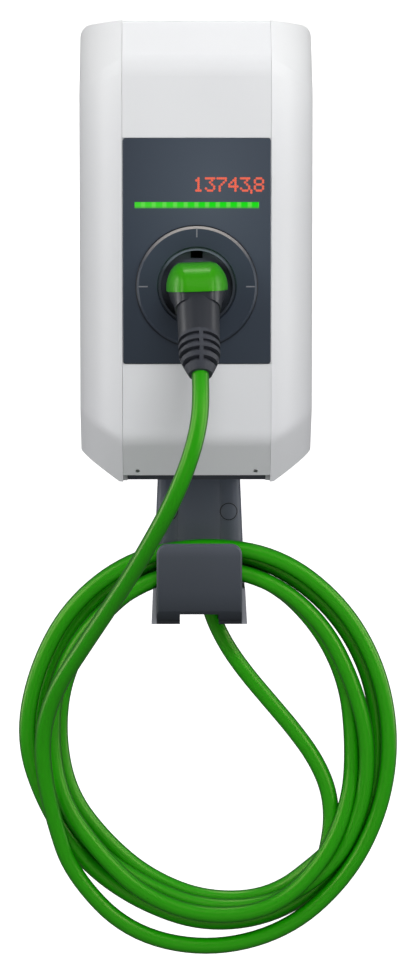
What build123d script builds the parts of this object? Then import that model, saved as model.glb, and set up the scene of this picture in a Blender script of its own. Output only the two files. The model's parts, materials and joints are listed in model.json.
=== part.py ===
from build123d import *
import math
import os

# Wall box for charging an electric car, with its parked vehicle connector, its cable and the cable hook.
# Millimetres. X is right, Y points into the wall, Z is up. The wall is the plane y = 0, the front faces -Y.
# A depth is a distance in front of the wall, so its y is minus the depth.
# The origin is the centre of the housing's back face.

# Housing
HOUSING_WIDTH = 240.0
HOUSING_HEIGHT = 468.0
SIDE_DEPTH = 62.0
SHELL_WALL = 3.0
SHELL_WALL_GAP = 4.0
CHANNEL_SINK = 56.0
FLANGE_WIDTH = 12.0
SLANT = 0.8
BOTTOM_CREASE = -188.0
BOTTOM_CREASE_RISE = 22.0
BOTTOM_CORNER_RISE = 27.0
BOTTOM_FLAT_HALF = 79.0
TOP_CREASE = 188.0
TOP_CORNER_DROP = 3.0
TOP_CORNER_RADIUS = 12.0
CREASE_RADIUS = 32.0

# Front cover between the cheeks
COVER_WIDTH = 149.4
COVER_DEPTH = 160.0
CHEEK_SETBACK = 2.0
COVER_TOP = 231.8
COVER_BOTTOM = -226.6
COVER_WALL = 2.6
COVER_SEAM = 0.3
COVER_TOP_BEND = 34.0
COVER_BOTTOM_BEND = 26.0
COVER_EDGE_RADIUS = 4.0
COVER_SCREW_X = 60.0
COVER_SCREW_RADIUS = 2.0
COVER_SCREW_RISE = 4.5
COVER_SCREW_LENGTH = 18.0

# Dark panel in the cover
PANEL_HEIGHT = 226.0
PANEL_CENTRE_Z = 1.4
PANEL_THICKNESS = 3.0
PANEL_POCKET = 1.6
PANEL_MARGIN = 0.4
PANEL_CORNER = 3.0
DISPLAY_WIDTH = 72.0
DISPLAY_HEIGHT = 20.0
DISPLAY_X = 33.6
DISPLAY_Z = 67.5
LIGHT_WIDTH = 124.6
LIGHT_HEIGHT = 6.2
LIGHT_Z = 47.4
LIGHT_CLEARANCE = 0.1

PANEL_EDGE = 0.6
SEAL_MARGIN = 5.0
SEAL_WIDTH = 4.0
SEAL_END_DROP = 9.0
SEAL_THICKNESS = 1.6

# Parking socket for the vehicle connector
SOCKET_Z = -33.9
RING_RADIUS = 61.5
RING_HOLE_RADIUS = 39.0
RING_PROUD = 4.5
RING_BEVEL = 3.2
RING_LIP = 1.2
RING_TICK_LENGTH = 9.0
RING_TICK_WIDTH = 1.3
RING_TICK_DEPTH = 0.6
CUP_CLEARANCE = 0.3
CUP_SINK = 60.0
CUP_WALL = 2.6
SHELF_SINK = 11.0
SKIRT_SINK = 22.0
CUP_LIP = 1.5
CUP_FLANGE_RADIUS = 50.0
CUP_FLANGE = 3.0
COLLAR_WALL = 3.0
COLLAR_HEIGHT = 5.0
LATCH_WIDTH = 12.0
LATCH_HEIGHT = 7.6
LATCH_Z = 32.0

# Dark base behind the shell
BASE_CLEARANCE = 0.3
BASE_WALL = 3.0
BASE_RIM_DEPTH = 52.0
BASE_SILL_HALF = 70.5
BASE_SILL_DEPTH = 112.0
BASE_SILL_BOTTOM = -232.4
WALL_HOLE_EDGE = 16.0
WALL_HOLE_Z = 198.0
WALL_HOLE_RADIUS = 3.25
BOSS_RADIUS = 4.5
SCREW_RADIUS = 1.6
SUPPLY_EDGE = 50.0
SUPPLY_Z = 150.0
GROMMET_NECK_RADIUS = 13.0
GLAND_X = 3.0
GLAND_DEPTH = 29.0
GLAND_THREAD_RADIUS = 12.5
GLAND_THREAD_LENGTH = 14.0
GLAND_HEX_RADIUS = 15.5
GLAND_HEX_HEIGHT = 6.0
GLAND_NECK = 8.0
GLAND_BORE_RADIUS = 7.5
GLAND_NUT_HEIGHT = 5.0
GLAND_CAP_HEIGHT = 18.0
RAIL_EDGE = 20.0
RAIL_Z = -150.0
RAIL_DEPTH = 10.0
BOARD_WIDTH = 170.0
BOARD_HEIGHT = 120.0
BOARD_Z = 40.0
BOARD_DEPTH = 22.0
BOARD_THICKNESS = 1.6
BOARD_SCREW_EDGE = 6.0
LAMP_BOARD_SINK = 10.0
LAMP_BOARD_WIDTH = 140.0
LAMP_BOARD_LOW = 22.0
LAMP_BOARD_HIGH = 92.0
GROMMET_FLANGE_RADIUS = 17.0
GROMMET_FLANGE = 3.0
SUPPLY_HOLE_RADIUS = 9.0

# Devices on the rail
RAIL_WIDTH = 35.0
RAIL_BASE_WIDTH = 27.0
RAIL_HEIGHT = 7.5
RAIL_THICKNESS = 1.0
RAIL_FIT = 0.2
RAIL_SCREW_LENGTH = 6.0
SCREW_HEAD_RADIUS = 3.0
SCREW_HEAD_HEIGHT = 2.0
BOARD_SCREW_LENGTH = 10.0
MODULE_LEFT = -97.0
MODULE_GAP = 0.5
MODULE_HEIGHT = 86.0
MODULE_NOSE = 45.0
MODULE_SHOULDER = 30.0
TERMINAL_WIDTH = 46.0
TERMINAL_HEIGHT = 44.0
TERMINAL_DEPTH = 58.0
TERMINAL_POLES = 5
TERMINAL_ROW = 14.0
TERMINAL_WELL = 5.0
TERMINAL_SCREW_RADIUS = 3.0
METER_WIDTH = 72.0
METER_DEPTH = 74.0
CONTACTOR_WIDTH = 52.0
CONTACTOR_NOSE = 56.0
CONTACTOR_DEPTH = 70.0
FUSE_WIDTH = 18.0
FUSE_NOSE = 45.0
FUSE_BACK = 60.0
FUSE_THICKNESS = 16.0
FUSE_DRAWER_WIDTH = 13.0
FUSE_DRAWER_HEIGHT = 38.0
FUSE_SIDE_CLEARANCE = 0.3
FUSE_CLEARANCE = 0.3
FUSE_LIP = 3.0
FUSE_LENGTH = 20.0
FUSE_RADIUS = 2.8
FUSE_END_WALL = 2.0
FUSE_PIN_LENGTH = 17.0
PIN_RADIUS = 1.5
PIN_CLEARANCE = 0.05
SENSOR_PLACE = (-60.0, -62.0)
SENSOR_RADIUS = 20.0
SENSOR_BORE = 11.0
SENSOR_LENGTH = 16.0

# Components on the control board
COMPONENT_EDGE = 10.0
COMPONENT_START = 14.0
COMPONENT_GAP = 5.0
RELAY_COUNT = 3
RELAY_WIDTH = 19.0
RELAY_LENGTH = 28.0
RELAY_HEIGHT = 16.0
PLUG_COUNT = 8
PLUG_PITCH = 7.0
PLUG_WIDTH = 5.4
PLUG_LENGTH = 10.0
PLUG_HEIGHT = 9.0
CHIP_X = 24.0
CHIP_SIDE = 20.0
CHIP_HEIGHT = 2.5
SUPPLY_WIDTH = 50.0
SUPPLY_LENGTH = 40.0
SUPPLY_HEIGHT = 24.0

# Switches on the control board
BUTTON_PLACE = (62.0, 78.0)
BUTTON_CASE = 12.0
BUTTON_CASE_HEIGHT = 7.0
BUTTON_FLOOR = 2.0
BUTTON_RADIUS = 3.2
BUTTON_TRAVEL = 1.2
BUTTON_HEIGHT = 8.0
SELECTOR_PLACE = (30.0, 78.0)
SELECTOR_CASE = 18.0
SELECTOR_CASE_HEIGHT = 8.0
SELECTOR_RADIUS = 6.5
SELECTOR_SINK = 5.0
SELECTOR_GRIP = 2.5

# Vehicle connector
CONNECTOR_ROLL = 1.8
NOSE_RADIUS = 27.4
NOSE_FLAT = 20.0
NOSE_SINK = 54.0
NOSE_CLEARANCE = 0.6
HOOD_RADIUS = 30.6
HOOD_FLAT = 24.4
HOOD_CORNER = 12.0
HOOD_WALL = 2.0
HOOD_GAP = 3.0
HOOD_SHOULDER = 34.0
HOOD_END = 26.0
HOOD_SKIRT = 3.0
HOOD_LEDGE = 0.3
CONTACT_WALL = 1.0
CONTACT_RECESS = 3.0
CONTACT_LENGTH = 40.0
PILOT_RADIUS = 1.5
POWER_RADIUS = 3.0
ELBOW_OUT = 51.0
GRIP_ANGLE = 54.5
GRIP_RADIUS = 21.6
GRIP_LENGTH = 60.0
BOOT_RADIUS = 20.4
BOOT_END_RADIUS = 11.6
BOOT_LENGTH = 42.0
BOOT_TWIST = 6.0
SLOT_START = 4.0
SLOT_COUNT = 4
SLOT_PITCH = 8.6
SLOT_WIDTH = 4.4
SLOT_DEPTH = 3.6
SLOT_BACK = 6.0
SPINE_HALF_WIDTH = 2.0

# Cable: two free stretches and the coil that hangs on the hook
CABLE_DIAMETER = 17.0
COIL_BACK_DEPTH = 52.0
COIL_THICKNESS = 38.0
COIL_SEAT = 0.3

# Cable holder below the housing
HOLDER_X = 3.0
HOLDER_BACK = 0.0
HOLDER_TOP = -232.8
HOLDER_BOTTOM = -384.0
HOLDER_TOP_WIDTH = 86.0
HOLDER_BOTTOM_WIDTH = 99.0
HOLDER_DEPTH = 50.0
HOLDER_WALL = 3.5
RIB_HALF_WIDTH = 20.0
RIB_PROUD = 4.0
THROAT = 43.0
PLATE_THICKNESS = 6.0
PLATE_WIDTH = 88.0
PLATE_TOP = -300.5
PLATE_BOTTOM = -370.0
PLATE_CORNER = 11.0
SADDLE_TOP = -339.5
SADDLE_DROP = 8.0
SADDLE_WALL = 3.5
NOTCH_WIDTH = 40.0
HOLDER_SCREW_X = 31.0
HOLDER_SCREW_Z = -271.5
HOLDER_HOLE_RADIUS = 2.75
HOLDER_FOOT = 5.0
CAP_RADIUS = 9.3
CAP_CLEARANCE = 0.15
CAP_SINK = 5.0
WING_DROP = 9.0
WING_CORNER = 8.0
GROOVE_DEPTH = 1.0
SADDLE_TAPER = 2.0
NOTCH_DROP = 3.5
PLATE_BEVEL_HEIGHT = 9.5
PLATE_RIM_BEVEL = 1.8


def block(x_low, x_high, depth_low, depth_high, z_low, z_high):
    """A box between two sides, two depths in front of the wall and two heights."""
    middle = ((x_low + x_high) / 2, -(depth_low + depth_high) / 2, (z_low + z_high) / 2)
    return Pos(*middle) * Box(x_high - x_low, depth_high - depth_low, z_high - z_low)


def rod(x, z, radius, depth_low, depth_high):
    """A round bar that stands square to the wall."""
    place = Plane(origin=(x, -depth_low, z), z_dir=(0, -1, 0))
    return extrude(place * Circle(radius), depth_high - depth_low)


def front_plane(depth, x=0.0, z=0.0):
    """A sketch plane parallel to the wall, seen from the front: its own x is right and its own y is up."""
    return Plane(origin=(x, -depth, z), x_dir=(1, 0, 0), z_dir=(0, -1, 0))


def side_plane(x):
    """A sketch plane whose own x is the depth in front of the wall and whose own y is up."""
    return Plane(origin=(x, 0, 0), x_dir=(0, -1, 0), z_dir=(-1, 0, 0))


# Housing form, shared by the shell and the base

BASE_BACK = SHELL_WALL + BASE_CLEARANCE

HALF_WIDTH = HOUSING_WIDTH / 2
CHEEK_DEPTH = COVER_DEPTH - CHEEK_SETBACK
CHANNEL_DEPTH = COVER_DEPTH - CHANNEL_SINK
HALF_HEIGHT = HOUSING_HEIGHT / 2
BASE_SILL_TOP = BASE_BACK + BASE_WALL - HALF_HEIGHT
WALL_HOLE_X = HALF_WIDTH - WALL_HOLE_EDGE
SUPPLY_PLACE = (SUPPLY_EDGE - HALF_WIDTH, SUPPLY_Z)
RAIL_LENGTH = HOUSING_WIDTH - 2 * RAIL_EDGE
CHANNEL_HALF = COVER_WIDTH / 2 + COVER_SEAM
CHEEK_RISE = CHEEK_DEPTH - SIDE_DEPTH
CHEEK_SPAN = HALF_WIDTH - CHANNEL_HALF
CHEEK_RADIUS = (CHEEK_SPAN**2 + CHEEK_RISE**2) / (2 * CHEEK_SPAN)


def cheek_depth(x):
    """How far the cheek stands out from the wall at a distance x from the middle."""
    across = x - HALF_WIDTH + CHEEK_RADIUS
    return SIDE_DEPTH + math.sqrt(CHEEK_RADIUS**2 - across**2)


def plan_face(depths, back_y=0.0):
    """A plan outline through the depths at the cover's edge, at the middle of the cheek and at the side."""
    inner, middle, outer = depths
    middle_x = HALF_WIDTH - CHEEK_SPAN / 3
    right = ThreePointArc((CHANNEL_HALF, -inner), (middle_x, -middle), (HALF_WIDTH, -outer))
    left = ThreePointArc((-HALF_WIDTH, -outer), (-middle_x, -middle), (-CHANNEL_HALF, -inner))
    back = Polyline(
        (HALF_WIDTH, -outer), (HALF_WIDTH, back_y), (-HALF_WIDTH, back_y), (-HALF_WIDTH, -outer)
    )
    front = Line((-CHANNEL_HALF, -inner), (CHANNEL_HALF, -inner))
    return make_face([right, back, left, front])


def slanted_form(inset, end_z, crease, crease_side, upward):
    """The housing's bottom or top slope: the plan pushed back towards its end, as one slanted extrusion."""
    middle_x = HALF_WIDTH - CHEEK_SPAN / 3
    third = crease_side + (crease - crease_side) / 3
    levels = [(CHANNEL_HALF, crease), (middle_x, third), (HALF_WIDTH, crease_side)]
    depths = [cheek_depth(x) - SLANT * abs(end_z - level) for x, level in levels]
    outline = plan_face(depths, HOUSING_HEIGHT * SLANT)
    if inset:
        outline = offset(outline, -inset * math.hypot(1, SLANT))
    face = Pos(0, 0, end_z) * outline
    return extrude(face, HOUSING_HEIGHT * math.hypot(1, SLANT), dir=(0, -SLANT, upward))


def housing_form(inset):
    """The housing's outer form, moved inwards by the inset on every side but the back."""
    plan = plan_face([CHEEK_DEPTH, cheek_depth(HALF_WIDTH - CHEEK_SPAN / 3), SIDE_DEPTH])
    upright = extrude(Pos(0, 0, -HALF_HEIGHT) * (offset(plan, -inset) if inset else plan), HOUSING_HEIGHT)
    side_crease = BOTTOM_CREASE + BOTTOM_CREASE_RISE
    lower = slanted_form(inset, -HALF_HEIGHT, BOTTOM_CREASE, side_crease, 1)
    upper = slanted_form(inset, HALF_HEIGHT, TOP_CREASE, TOP_CREASE - BOTTOM_CREASE_RISE, -1)
    outline = Polyline(
        (-HALF_WIDTH, -HALF_HEIGHT + BOTTOM_CORNER_RISE),
        (-BOTTOM_FLAT_HALF, -HALF_HEIGHT),
        (BOTTOM_FLAT_HALF, -HALF_HEIGHT),
        (HALF_WIDTH, -HALF_HEIGHT + BOTTOM_CORNER_RISE),
        (HALF_WIDTH, HALF_HEIGHT - TOP_CORNER_DROP),
        (CHANNEL_HALF, HALF_HEIGHT),
        (-CHANNEL_HALF, HALF_HEIGHT),
        (-HALF_WIDTH, HALF_HEIGHT - TOP_CORNER_DROP),
        close=True,
    )
    front_view = make_face(outline)
    corners = front_view.vertices().filter_by(lambda v: v.Y > 0 and abs(v.X) > CHANNEL_HALF + 1)
    front_view = fillet(corners, TOP_CORNER_RADIUS)
    if inset:
        front_view = offset(front_view, -inset)
    mask = extrude(front_plane(0) * front_view, COVER_DEPTH)
    return upright & lower & upper & mask


def housing_outside():
    """The outer form with the creases of its cheeks rounded."""
    form = housing_form(0)
    levels = (BOTTOM_CREASE, TOP_CREASE)
    curved = form.edges().filter_by(GeomType.BSPLINE)
    rise = 1.5 * BOTTOM_CREASE_RISE
    creases = []
    for edge in curved:
        if any(0 < abs(level) - abs(edge.center().Z) < rise for level in levels):
            creases.append(edge)
    return fillet(creases, CREASE_RADIUS)


def housing_shell():
    """The white moulding: two cheeks, joined by the floor of the channel that the cover sits in."""
    top = HALF_HEIGHT + 1
    front = COVER_DEPTH + 1
    channel = block(-CHANNEL_HALF, CHANNEL_HALF, CHANNEL_DEPTH, front, -top, top)
    lined = CHANNEL_HALF + SHELL_WALL
    lining = block(-lined, lined, CHANNEL_DEPTH - SHELL_WALL, front, -top, top)
    shell = (housing_outside() - channel) - (housing_form(SHELL_WALL) - lining)
    window = CHANNEL_HALF - FLANGE_WIDTH
    shell -= block(-window, window, 0, front, COVER_BOTTOM + 2 * FLANGE_WIDTH, COVER_TOP - FLANGE_WIDTH)
    shell -= block(-HALF_WIDTH, HALF_WIDTH, -1, SHELL_WALL_GAP, -top, top)
    sill = BASE_SILL_HALF + BASE_CLEARANCE
    shell -= block(-sill, sill, 0, front, -top, BASE_SILL_TOP + BASE_CLEARANCE)
    return shell


def cover_face(inset, back_depth):
    """The cover's outline from the side, moved inwards by the inset."""
    top_depth = COVER_DEPTH - SLANT * (COVER_TOP - TOP_CREASE)
    bottom_depth = COVER_DEPTH - SLANT * (BOTTOM_CREASE - COVER_BOTTOM)
    outline = Polyline(
        (back_depth, COVER_TOP),
        (top_depth, COVER_TOP),
        (COVER_DEPTH, TOP_CREASE),
        (COVER_DEPTH, BOTTOM_CREASE),
        (bottom_depth, COVER_BOTTOM),
        (back_depth, COVER_BOTTOM),
        close=True,
    )
    face = make_face(outline)
    bends = face.vertices().filter_by(lambda v: v.X > COVER_DEPTH - 1).sort_by(Axis.Y)
    face = fillet(bends[1], COVER_TOP_BEND)
    bends = face.vertices().filter_by(lambda v: v.X > COVER_DEPTH - 1).sort_by(Axis.Y)
    face = fillet(bends[0], COVER_BOTTOM_BEND)
    edge = face.vertices().sort_by_distance((top_depth, COVER_TOP))[0]
    face = fillet(edge, COVER_EDGE_RADIUS)
    return offset(face, -inset) if inset else face


def front_cover():
    """The white strip between the cheeks: a tray with a pocket for the panel and the openings behind it."""
    half = COVER_WIDTH / 2
    back = CHANNEL_DEPTH + COVER_SEAM
    outside = extrude(side_plane(half) * cover_face(0, back), COVER_WIDTH)
    room = COVER_WIDTH - 2 * COVER_WALL
    inside = extrude(side_plane(room / 2) * cover_face(COVER_WALL, back - 2 * COVER_WALL), room)
    cover = outside - inside
    pocket_half = PANEL_HEIGHT / 2 + PANEL_MARGIN
    low, high = PANEL_CENTRE_Z - pocket_half, PANEL_CENTRE_Z + pocket_half
    cover -= block(-half, half, COVER_DEPTH - PANEL_POCKET, COVER_DEPTH + 1, low, high)
    cover -= rod(0, SOCKET_Z, CUP_FLANGE_RADIUS + 1, CHANNEL_DEPTH, COVER_DEPTH)
    cover -= opening_behind(DISPLAY_X, DISPLAY_Z, DISPLAY_WIDTH, DISPLAY_HEIGHT)
    cover -= opening_behind(0, LIGHT_Z, LIGHT_WIDTH + 2, LIGHT_HEIGHT + 2)
    for side in (-1, 1):
        cover -= Pos(side * COVER_SCREW_X, 0, 0) * cover_screw_form(COVER_SCREW_RADIUS + 0.2)
        for z in (LAMP_BOARD_LOW + BOARD_SCREW_EDGE, LAMP_BOARD_HIGH - BOARD_SCREW_EDGE):
            x = side * (LAMP_BOARD_WIDTH / 2 - BOARD_SCREW_EDGE)
            boss_back = LAMP_BOARD_DEPTH + BOARD_THICKNESS
            cover += rod(x, z, BOSS_RADIUS, boss_back, COVER_DEPTH - COVER_WALL + 0.5)
    return cover


def opening_behind(x, z, width, height):
    """A window in the cover behind something in the panel."""
    return block(x - width / 2, x + width / 2, CHANNEL_DEPTH, COVER_DEPTH, z - height / 2, z + height / 2)


def cover_screw_form(radius):
    """A screw that goes up through the cover's lower slope and square to it."""
    tilt = math.degrees(math.atan2(1, SLANT))
    depth = COVER_DEPTH - SLANT * (BOTTOM_CREASE - COVER_BOTTOM - COVER_SCREW_RISE)
    place = Plane(origin=(0, -depth, COVER_BOTTOM + COVER_SCREW_RISE), x_dir=(1, 0, 0),
                  z_dir=(0, math.sin(math.radians(tilt)), math.cos(math.radians(tilt))))
    return place * Cylinder(radius, COVER_SCREW_LENGTH, align=(Align.CENTER, Align.CENTER, Align.MIN))


def cover_screws():
    screws = []
    for side in (-1, 1):
        screws.append(Pos(side * COVER_SCREW_X, 0, 0) * cover_screw_form(COVER_SCREW_RADIUS))
    return screws


def base_tray():
    """The dark back box: a tray inside the shell, with a sill that closes the housing's underside."""
    form = housing_form(SHELL_WALL + BASE_CLEARANCE)
    rim = block(-HALF_WIDTH, HALF_WIDTH, -1, BASE_RIM_DEPTH, -HALF_HEIGHT, HALF_HEIGHT)
    inner = housing_form(SHELL_WALL + BASE_CLEARANCE + BASE_WALL)
    room = block(-HALF_WIDTH, HALF_WIDTH, BASE_WALL, BASE_RIM_DEPTH + 1, -HALF_HEIGHT, HALF_HEIGHT)
    back = BASE_BACK
    tray = (form & rim) - (inner & room)
    tray -= extrude(front_plane(back) * plate_outline(back + BASE_WALL), back + BASE_WALL)
    tray += extrude(front_plane(0) * plate_outline(back), back)
    sill = block(-BASE_SILL_HALF, BASE_SILL_HALF, 0, BASE_SILL_DEPTH, BASE_SILL_BOTTOM, BASE_SILL_TOP)
    tray += sill
    for x, z in wall_screw_points():
        tray -= rod(x, z, WALL_HOLE_RADIUS, -1, BASE_RIM_DEPTH)
    tray -= rod(*SUPPLY_PLACE, GROMMET_NECK_RADIUS + 0.2, -1, BASE_RIM_DEPTH)
    gland = Cylinder(GLAND_THREAD_RADIUS + 0.2, 40)
    tray -= Pos(GLAND_X, -GLAND_DEPTH, BASE_SILL_BOTTOM) * gland
    for x, z in rail_points():
        tray += rod(x, z, BOSS_RADIUS, back, RAIL_DEPTH)
        tray -= rod(x, z, SCREW_RADIUS + 0.05, back + 1, RAIL_DEPTH)
    for x, z in board_points():
        tray += rod(x, z, BOSS_RADIUS, back, BOARD_DEPTH)
        tray -= rod(x, z, SCREW_RADIUS + 0.05, back + 1, BOARD_DEPTH)
    return tray


def plate_outline(inset):
    """The front view of the base's back plate."""
    side = HALF_WIDTH - inset
    low = HALF_HEIGHT - inset
    outline = Polyline(
        (-side, -low + BOTTOM_CORNER_RISE),
        (-BOTTOM_FLAT_HALF, -low),
        (BOTTOM_FLAT_HALF, -low),
        (side, -low + BOTTOM_CORNER_RISE),
        (side, low - TOP_CORNER_RADIUS),
        (side - TOP_CORNER_RADIUS, low - TOP_CORNER_DROP),
        (TOP_CORNER_RADIUS - side, low - TOP_CORNER_DROP),
        (-side, low - TOP_CORNER_RADIUS),
        close=True,
    )
    return make_face(outline)


def wall_screw_points():
    return [(x, z) for z in (-WALL_HOLE_Z, WALL_HOLE_Z) for x in (-WALL_HOLE_X, WALL_HOLE_X)]


def rail_points():
    return [(-RAIL_LENGTH / 2 + 12, RAIL_Z), (RAIL_LENGTH / 2 - 12, RAIL_Z)]


def board_points():
    half_width, half_height = BOARD_WIDTH / 2 - BOARD_SCREW_EDGE, BOARD_HEIGHT / 2 - BOARD_SCREW_EDGE
    return [(x, BOARD_Z + z) for z in (-half_height, half_height) for x in (-half_width, half_width)]


def base_seal():
    """The rubber cord between the cover and the floor of the channel."""
    outer = CHANNEL_HALF - SEAL_MARGIN
    low, high = COVER_BOTTOM + 2 * FLANGE_WIDTH - SEAL_END_DROP, COVER_TOP - FLANGE_WIDTH + SEAL_END_DROP
    seal = block(-outer, outer, CHANNEL_DEPTH, CHANNEL_DEPTH + SEAL_THICKNESS, low, high)
    inner = outer - SEAL_WIDTH
    return seal - block(-inner, inner, CHANNEL_DEPTH - 1, COVER_DEPTH, low + SEAL_WIDTH, high - SEAL_WIDTH)


# Panel and what shows in it

PANEL_BACK = COVER_DEPTH - PANEL_POCKET
PANEL_FRONT = PANEL_BACK + PANEL_THICKNESS
PANEL_WIDTH = COVER_WIDTH - 2 * PANEL_MARGIN
LAMP_BOARD_DEPTH = COVER_DEPTH - LAMP_BOARD_SINK
CUP_BACK_DEPTH = COVER_DEPTH - CUP_SINK
CUP_SHELF_DEPTH = COVER_DEPTH - SHELF_SINK
CUP_SKIRT_DEPTH = COVER_DEPTH - SKIRT_SINK
NOSE_TIP_DEPTH = COVER_DEPTH - NOSE_SINK
HOOD_BACK_DEPTH = COVER_DEPTH + HOOD_GAP
HOOD_SHOULDER_DEPTH = COVER_DEPTH + HOOD_SHOULDER
ELBOW_DEPTH = COVER_DEPTH + ELBOW_OUT


def front_panel():
    outline = RectangleRounded(PANEL_WIDTH, PANEL_HEIGHT, PANEL_CORNER)
    panel = extrude(front_plane(PANEL_BACK, 0, PANEL_CENTRE_Z) * outline, PANEL_THICKNESS)
    panel = chamfer(panel.faces().sort_by(Axis.Y)[0].edges(), PANEL_EDGE)
    panel -= rod(0, SOCKET_Z, RING_HOLE_RADIUS, PANEL_BACK - 1, PANEL_FRONT + 1)
    slot_half = LIGHT_WIDTH / 2 + LIGHT_CLEARANCE
    slot_rise = LIGHT_HEIGHT / 2 + LIGHT_CLEARANCE
    slot_low = LIGHT_Z - slot_rise
    slot_high = LIGHT_Z + slot_rise
    panel -= block(-slot_half, slot_half, PANEL_BACK - 1, PANEL_FRONT + 1, slot_low, slot_high)
    return panel


def light_bar():
    """The translucent bar that fills the slot in the panel, up to its lamps."""
    half = LIGHT_WIDTH / 2
    rise = LIGHT_HEIGHT / 2
    return block(-half, half, LAMP_BOARD_DEPTH + BOARD_THICKNESS, PANEL_FRONT, LIGHT_Z - rise, LIGHT_Z + rise)


def turned(points, x, z):
    """A solid turned about a line square to the wall, from points of depth and radius."""
    place = Plane(origin=(x, 0, z), x_dir=(0, -1, 0), z_dir=(-1, 0, 0))
    return revolve(place * make_face(Polyline(*points, close=True)), Axis((x, 0, z), (0, -1, 0)))


def holster_ring():
    front = PANEL_FRONT + RING_PROUD
    hole = RING_HOLE_RADIUS
    ring = turned(
        [
            (PANEL_FRONT, hole),
            (PANEL_FRONT, RING_RADIUS),
            (front - RING_BEVEL, RING_RADIUS),
            (front, RING_RADIUS - RING_BEVEL),
            (front, hole + RING_LIP),
            (front - RING_LIP, hole),
        ],
        0,
        SOCKET_Z,
    )
    low = front - RING_TICK_DEPTH
    outer = RING_RADIUS - RING_BEVEL
    inner = outer - RING_TICK_LENGTH
    half = RING_TICK_WIDTH / 2
    ring -= block(-half, half, low, front + 1, SOCKET_Z + inner, SOCKET_Z + outer)
    for side in (-1, 1):
        x_low, x_high = sorted((side * inner, side * outer))
        ring -= block(x_low, x_high, low, front + 1, SOCKET_Z - half, SOCKET_Z + half)
    return ring


def keyed_face(radius, flat):
    """A round outline with a flat top, as the connector's nose and its socket have."""
    half = math.sqrt(radius**2 - flat**2)
    arc = ThreePointArc((-half, flat), (0, -radius), (half, flat))
    return make_face([arc, Line((half, flat), (-half, flat))])


def keyed_bar(radius, flat, depth_low, depth_high):
    return extrude(front_plane(depth_low, 0, SOCKET_Z) * keyed_face(radius, flat), depth_high - depth_low)


def holster_cup():
    """The parking socket: an outer tube with a flange behind the panel, a shelf, and a keyed inner tube."""
    outer = RING_HOLE_RADIUS - CUP_CLEARANCE
    rim = PANEL_FRONT + CUP_LIP
    shelf_back = CUP_SHELF_DEPTH - CUP_WALL
    cup = rod(0, SOCKET_Z, outer, CUP_SKIRT_DEPTH, rim)
    cup -= rod(0, SOCKET_Z, outer - CUP_WALL, CUP_SHELF_DEPTH, rim + 1)
    cup -= rod(0, SOCKET_Z, outer - CUP_WALL, CUP_SKIRT_DEPTH - 1, shelf_back)
    cup += rod(0, SOCKET_Z, CUP_FLANGE_RADIUS, PANEL_BACK - CUP_FLANGE, PANEL_BACK) - rod(
        0, SOCKET_Z, outer - 0.5, PANEL_BACK - CUP_FLANGE - 1, PANEL_BACK + 1
    )
    bore_radius = NOSE_RADIUS + NOSE_CLEARANCE
    bore_flat = NOSE_FLAT + NOSE_CLEARANCE
    collar_front = CUP_SHELF_DEPTH + COLLAR_HEIGHT
    cup += keyed_bar(bore_radius + COLLAR_WALL, bore_flat + COLLAR_WALL, CUP_BACK_DEPTH, collar_front)
    cup -= keyed_bar(bore_radius, bore_flat, CUP_BACK_DEPTH + CUP_WALL, collar_front + 1)
    latch_z = SOCKET_Z + LATCH_Z
    half, rise = LATCH_WIDTH / 2, LATCH_HEIGHT / 2
    cup -= block(-half, half, shelf_back - 1, CUP_SHELF_DEPTH + 1, latch_z - rise, latch_z + rise)
    return cup


# Vehicle connector, parked in the socket

GRIP_DIRECTION = (0, -math.cos(math.radians(GRIP_ANGLE)), -math.sin(math.radians(GRIP_ANGLE)))


def grip_point(length):
    """A point on the grip's axis, a length beyond the elbow."""
    along = [length * part for part in GRIP_DIRECTION]
    return (0, -ELBOW_DEPTH + along[1], SOCKET_Z + along[2])


def grip_plane(length):
    """A sketch plane square to the grip's axis: its own x is right and its own y is forward and up."""
    return Plane(origin=grip_point(length), x_dir=(1, 0, 0), z_dir=GRIP_DIRECTION)


def rolled(piece):
    """The connector sits slightly turned in its socket."""
    return Pos(0, 0, SOCKET_Z) * Rot(0, -CONNECTOR_ROLL, 0) * Pos(0, 0, -SOCKET_Z) * piece


def contact_places():
    """The seven contacts: two small ones above, three in the middle and two below."""
    upper = [(-8.0, 11.0, PILOT_RADIUS), (8.0, 11.0, PILOT_RADIUS)]
    middle = [(-17.0, -1.5, POWER_RADIUS), (0.0, -1.5, POWER_RADIUS), (17.0, -1.5, POWER_RADIUS)]
    lower = [(-8.7, -16.0, POWER_RADIUS), (8.7, -16.0, POWER_RADIUS)]
    return upper + middle + lower


def connector_nose():
    nose = keyed_bar(NOSE_RADIUS, NOSE_FLAT, NOSE_TIP_DEPTH, HOOD_BACK_DEPTH)
    for x, z, radius in contact_places():
        well = NOSE_TIP_DEPTH + CONTACT_LENGTH
        nose -= rod(x, SOCKET_Z + z, radius + CONTACT_WALL, NOSE_TIP_DEPTH - 1, well)
    return nose


def connector_contacts():
    """The silvered contact sleeves inside the nose."""
    sleeves = []
    low, high = NOSE_TIP_DEPTH + CONTACT_RECESS, NOSE_TIP_DEPTH + CONTACT_LENGTH
    for x, z, radius in contact_places():
        sleeve = rod(x, SOCKET_Z + z, radius + CONTACT_WALL, low, high)
        sleeves.append(sleeve - rod(x, SOCKET_Z + z, radius, low - 1, high - 4))
    return sleeves


def rounded_key(radius, flat, corner):
    """The keyed outline with its two corners rounded."""
    face = keyed_face(radius, flat)
    return fillet(face.vertices(), corner)


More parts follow.
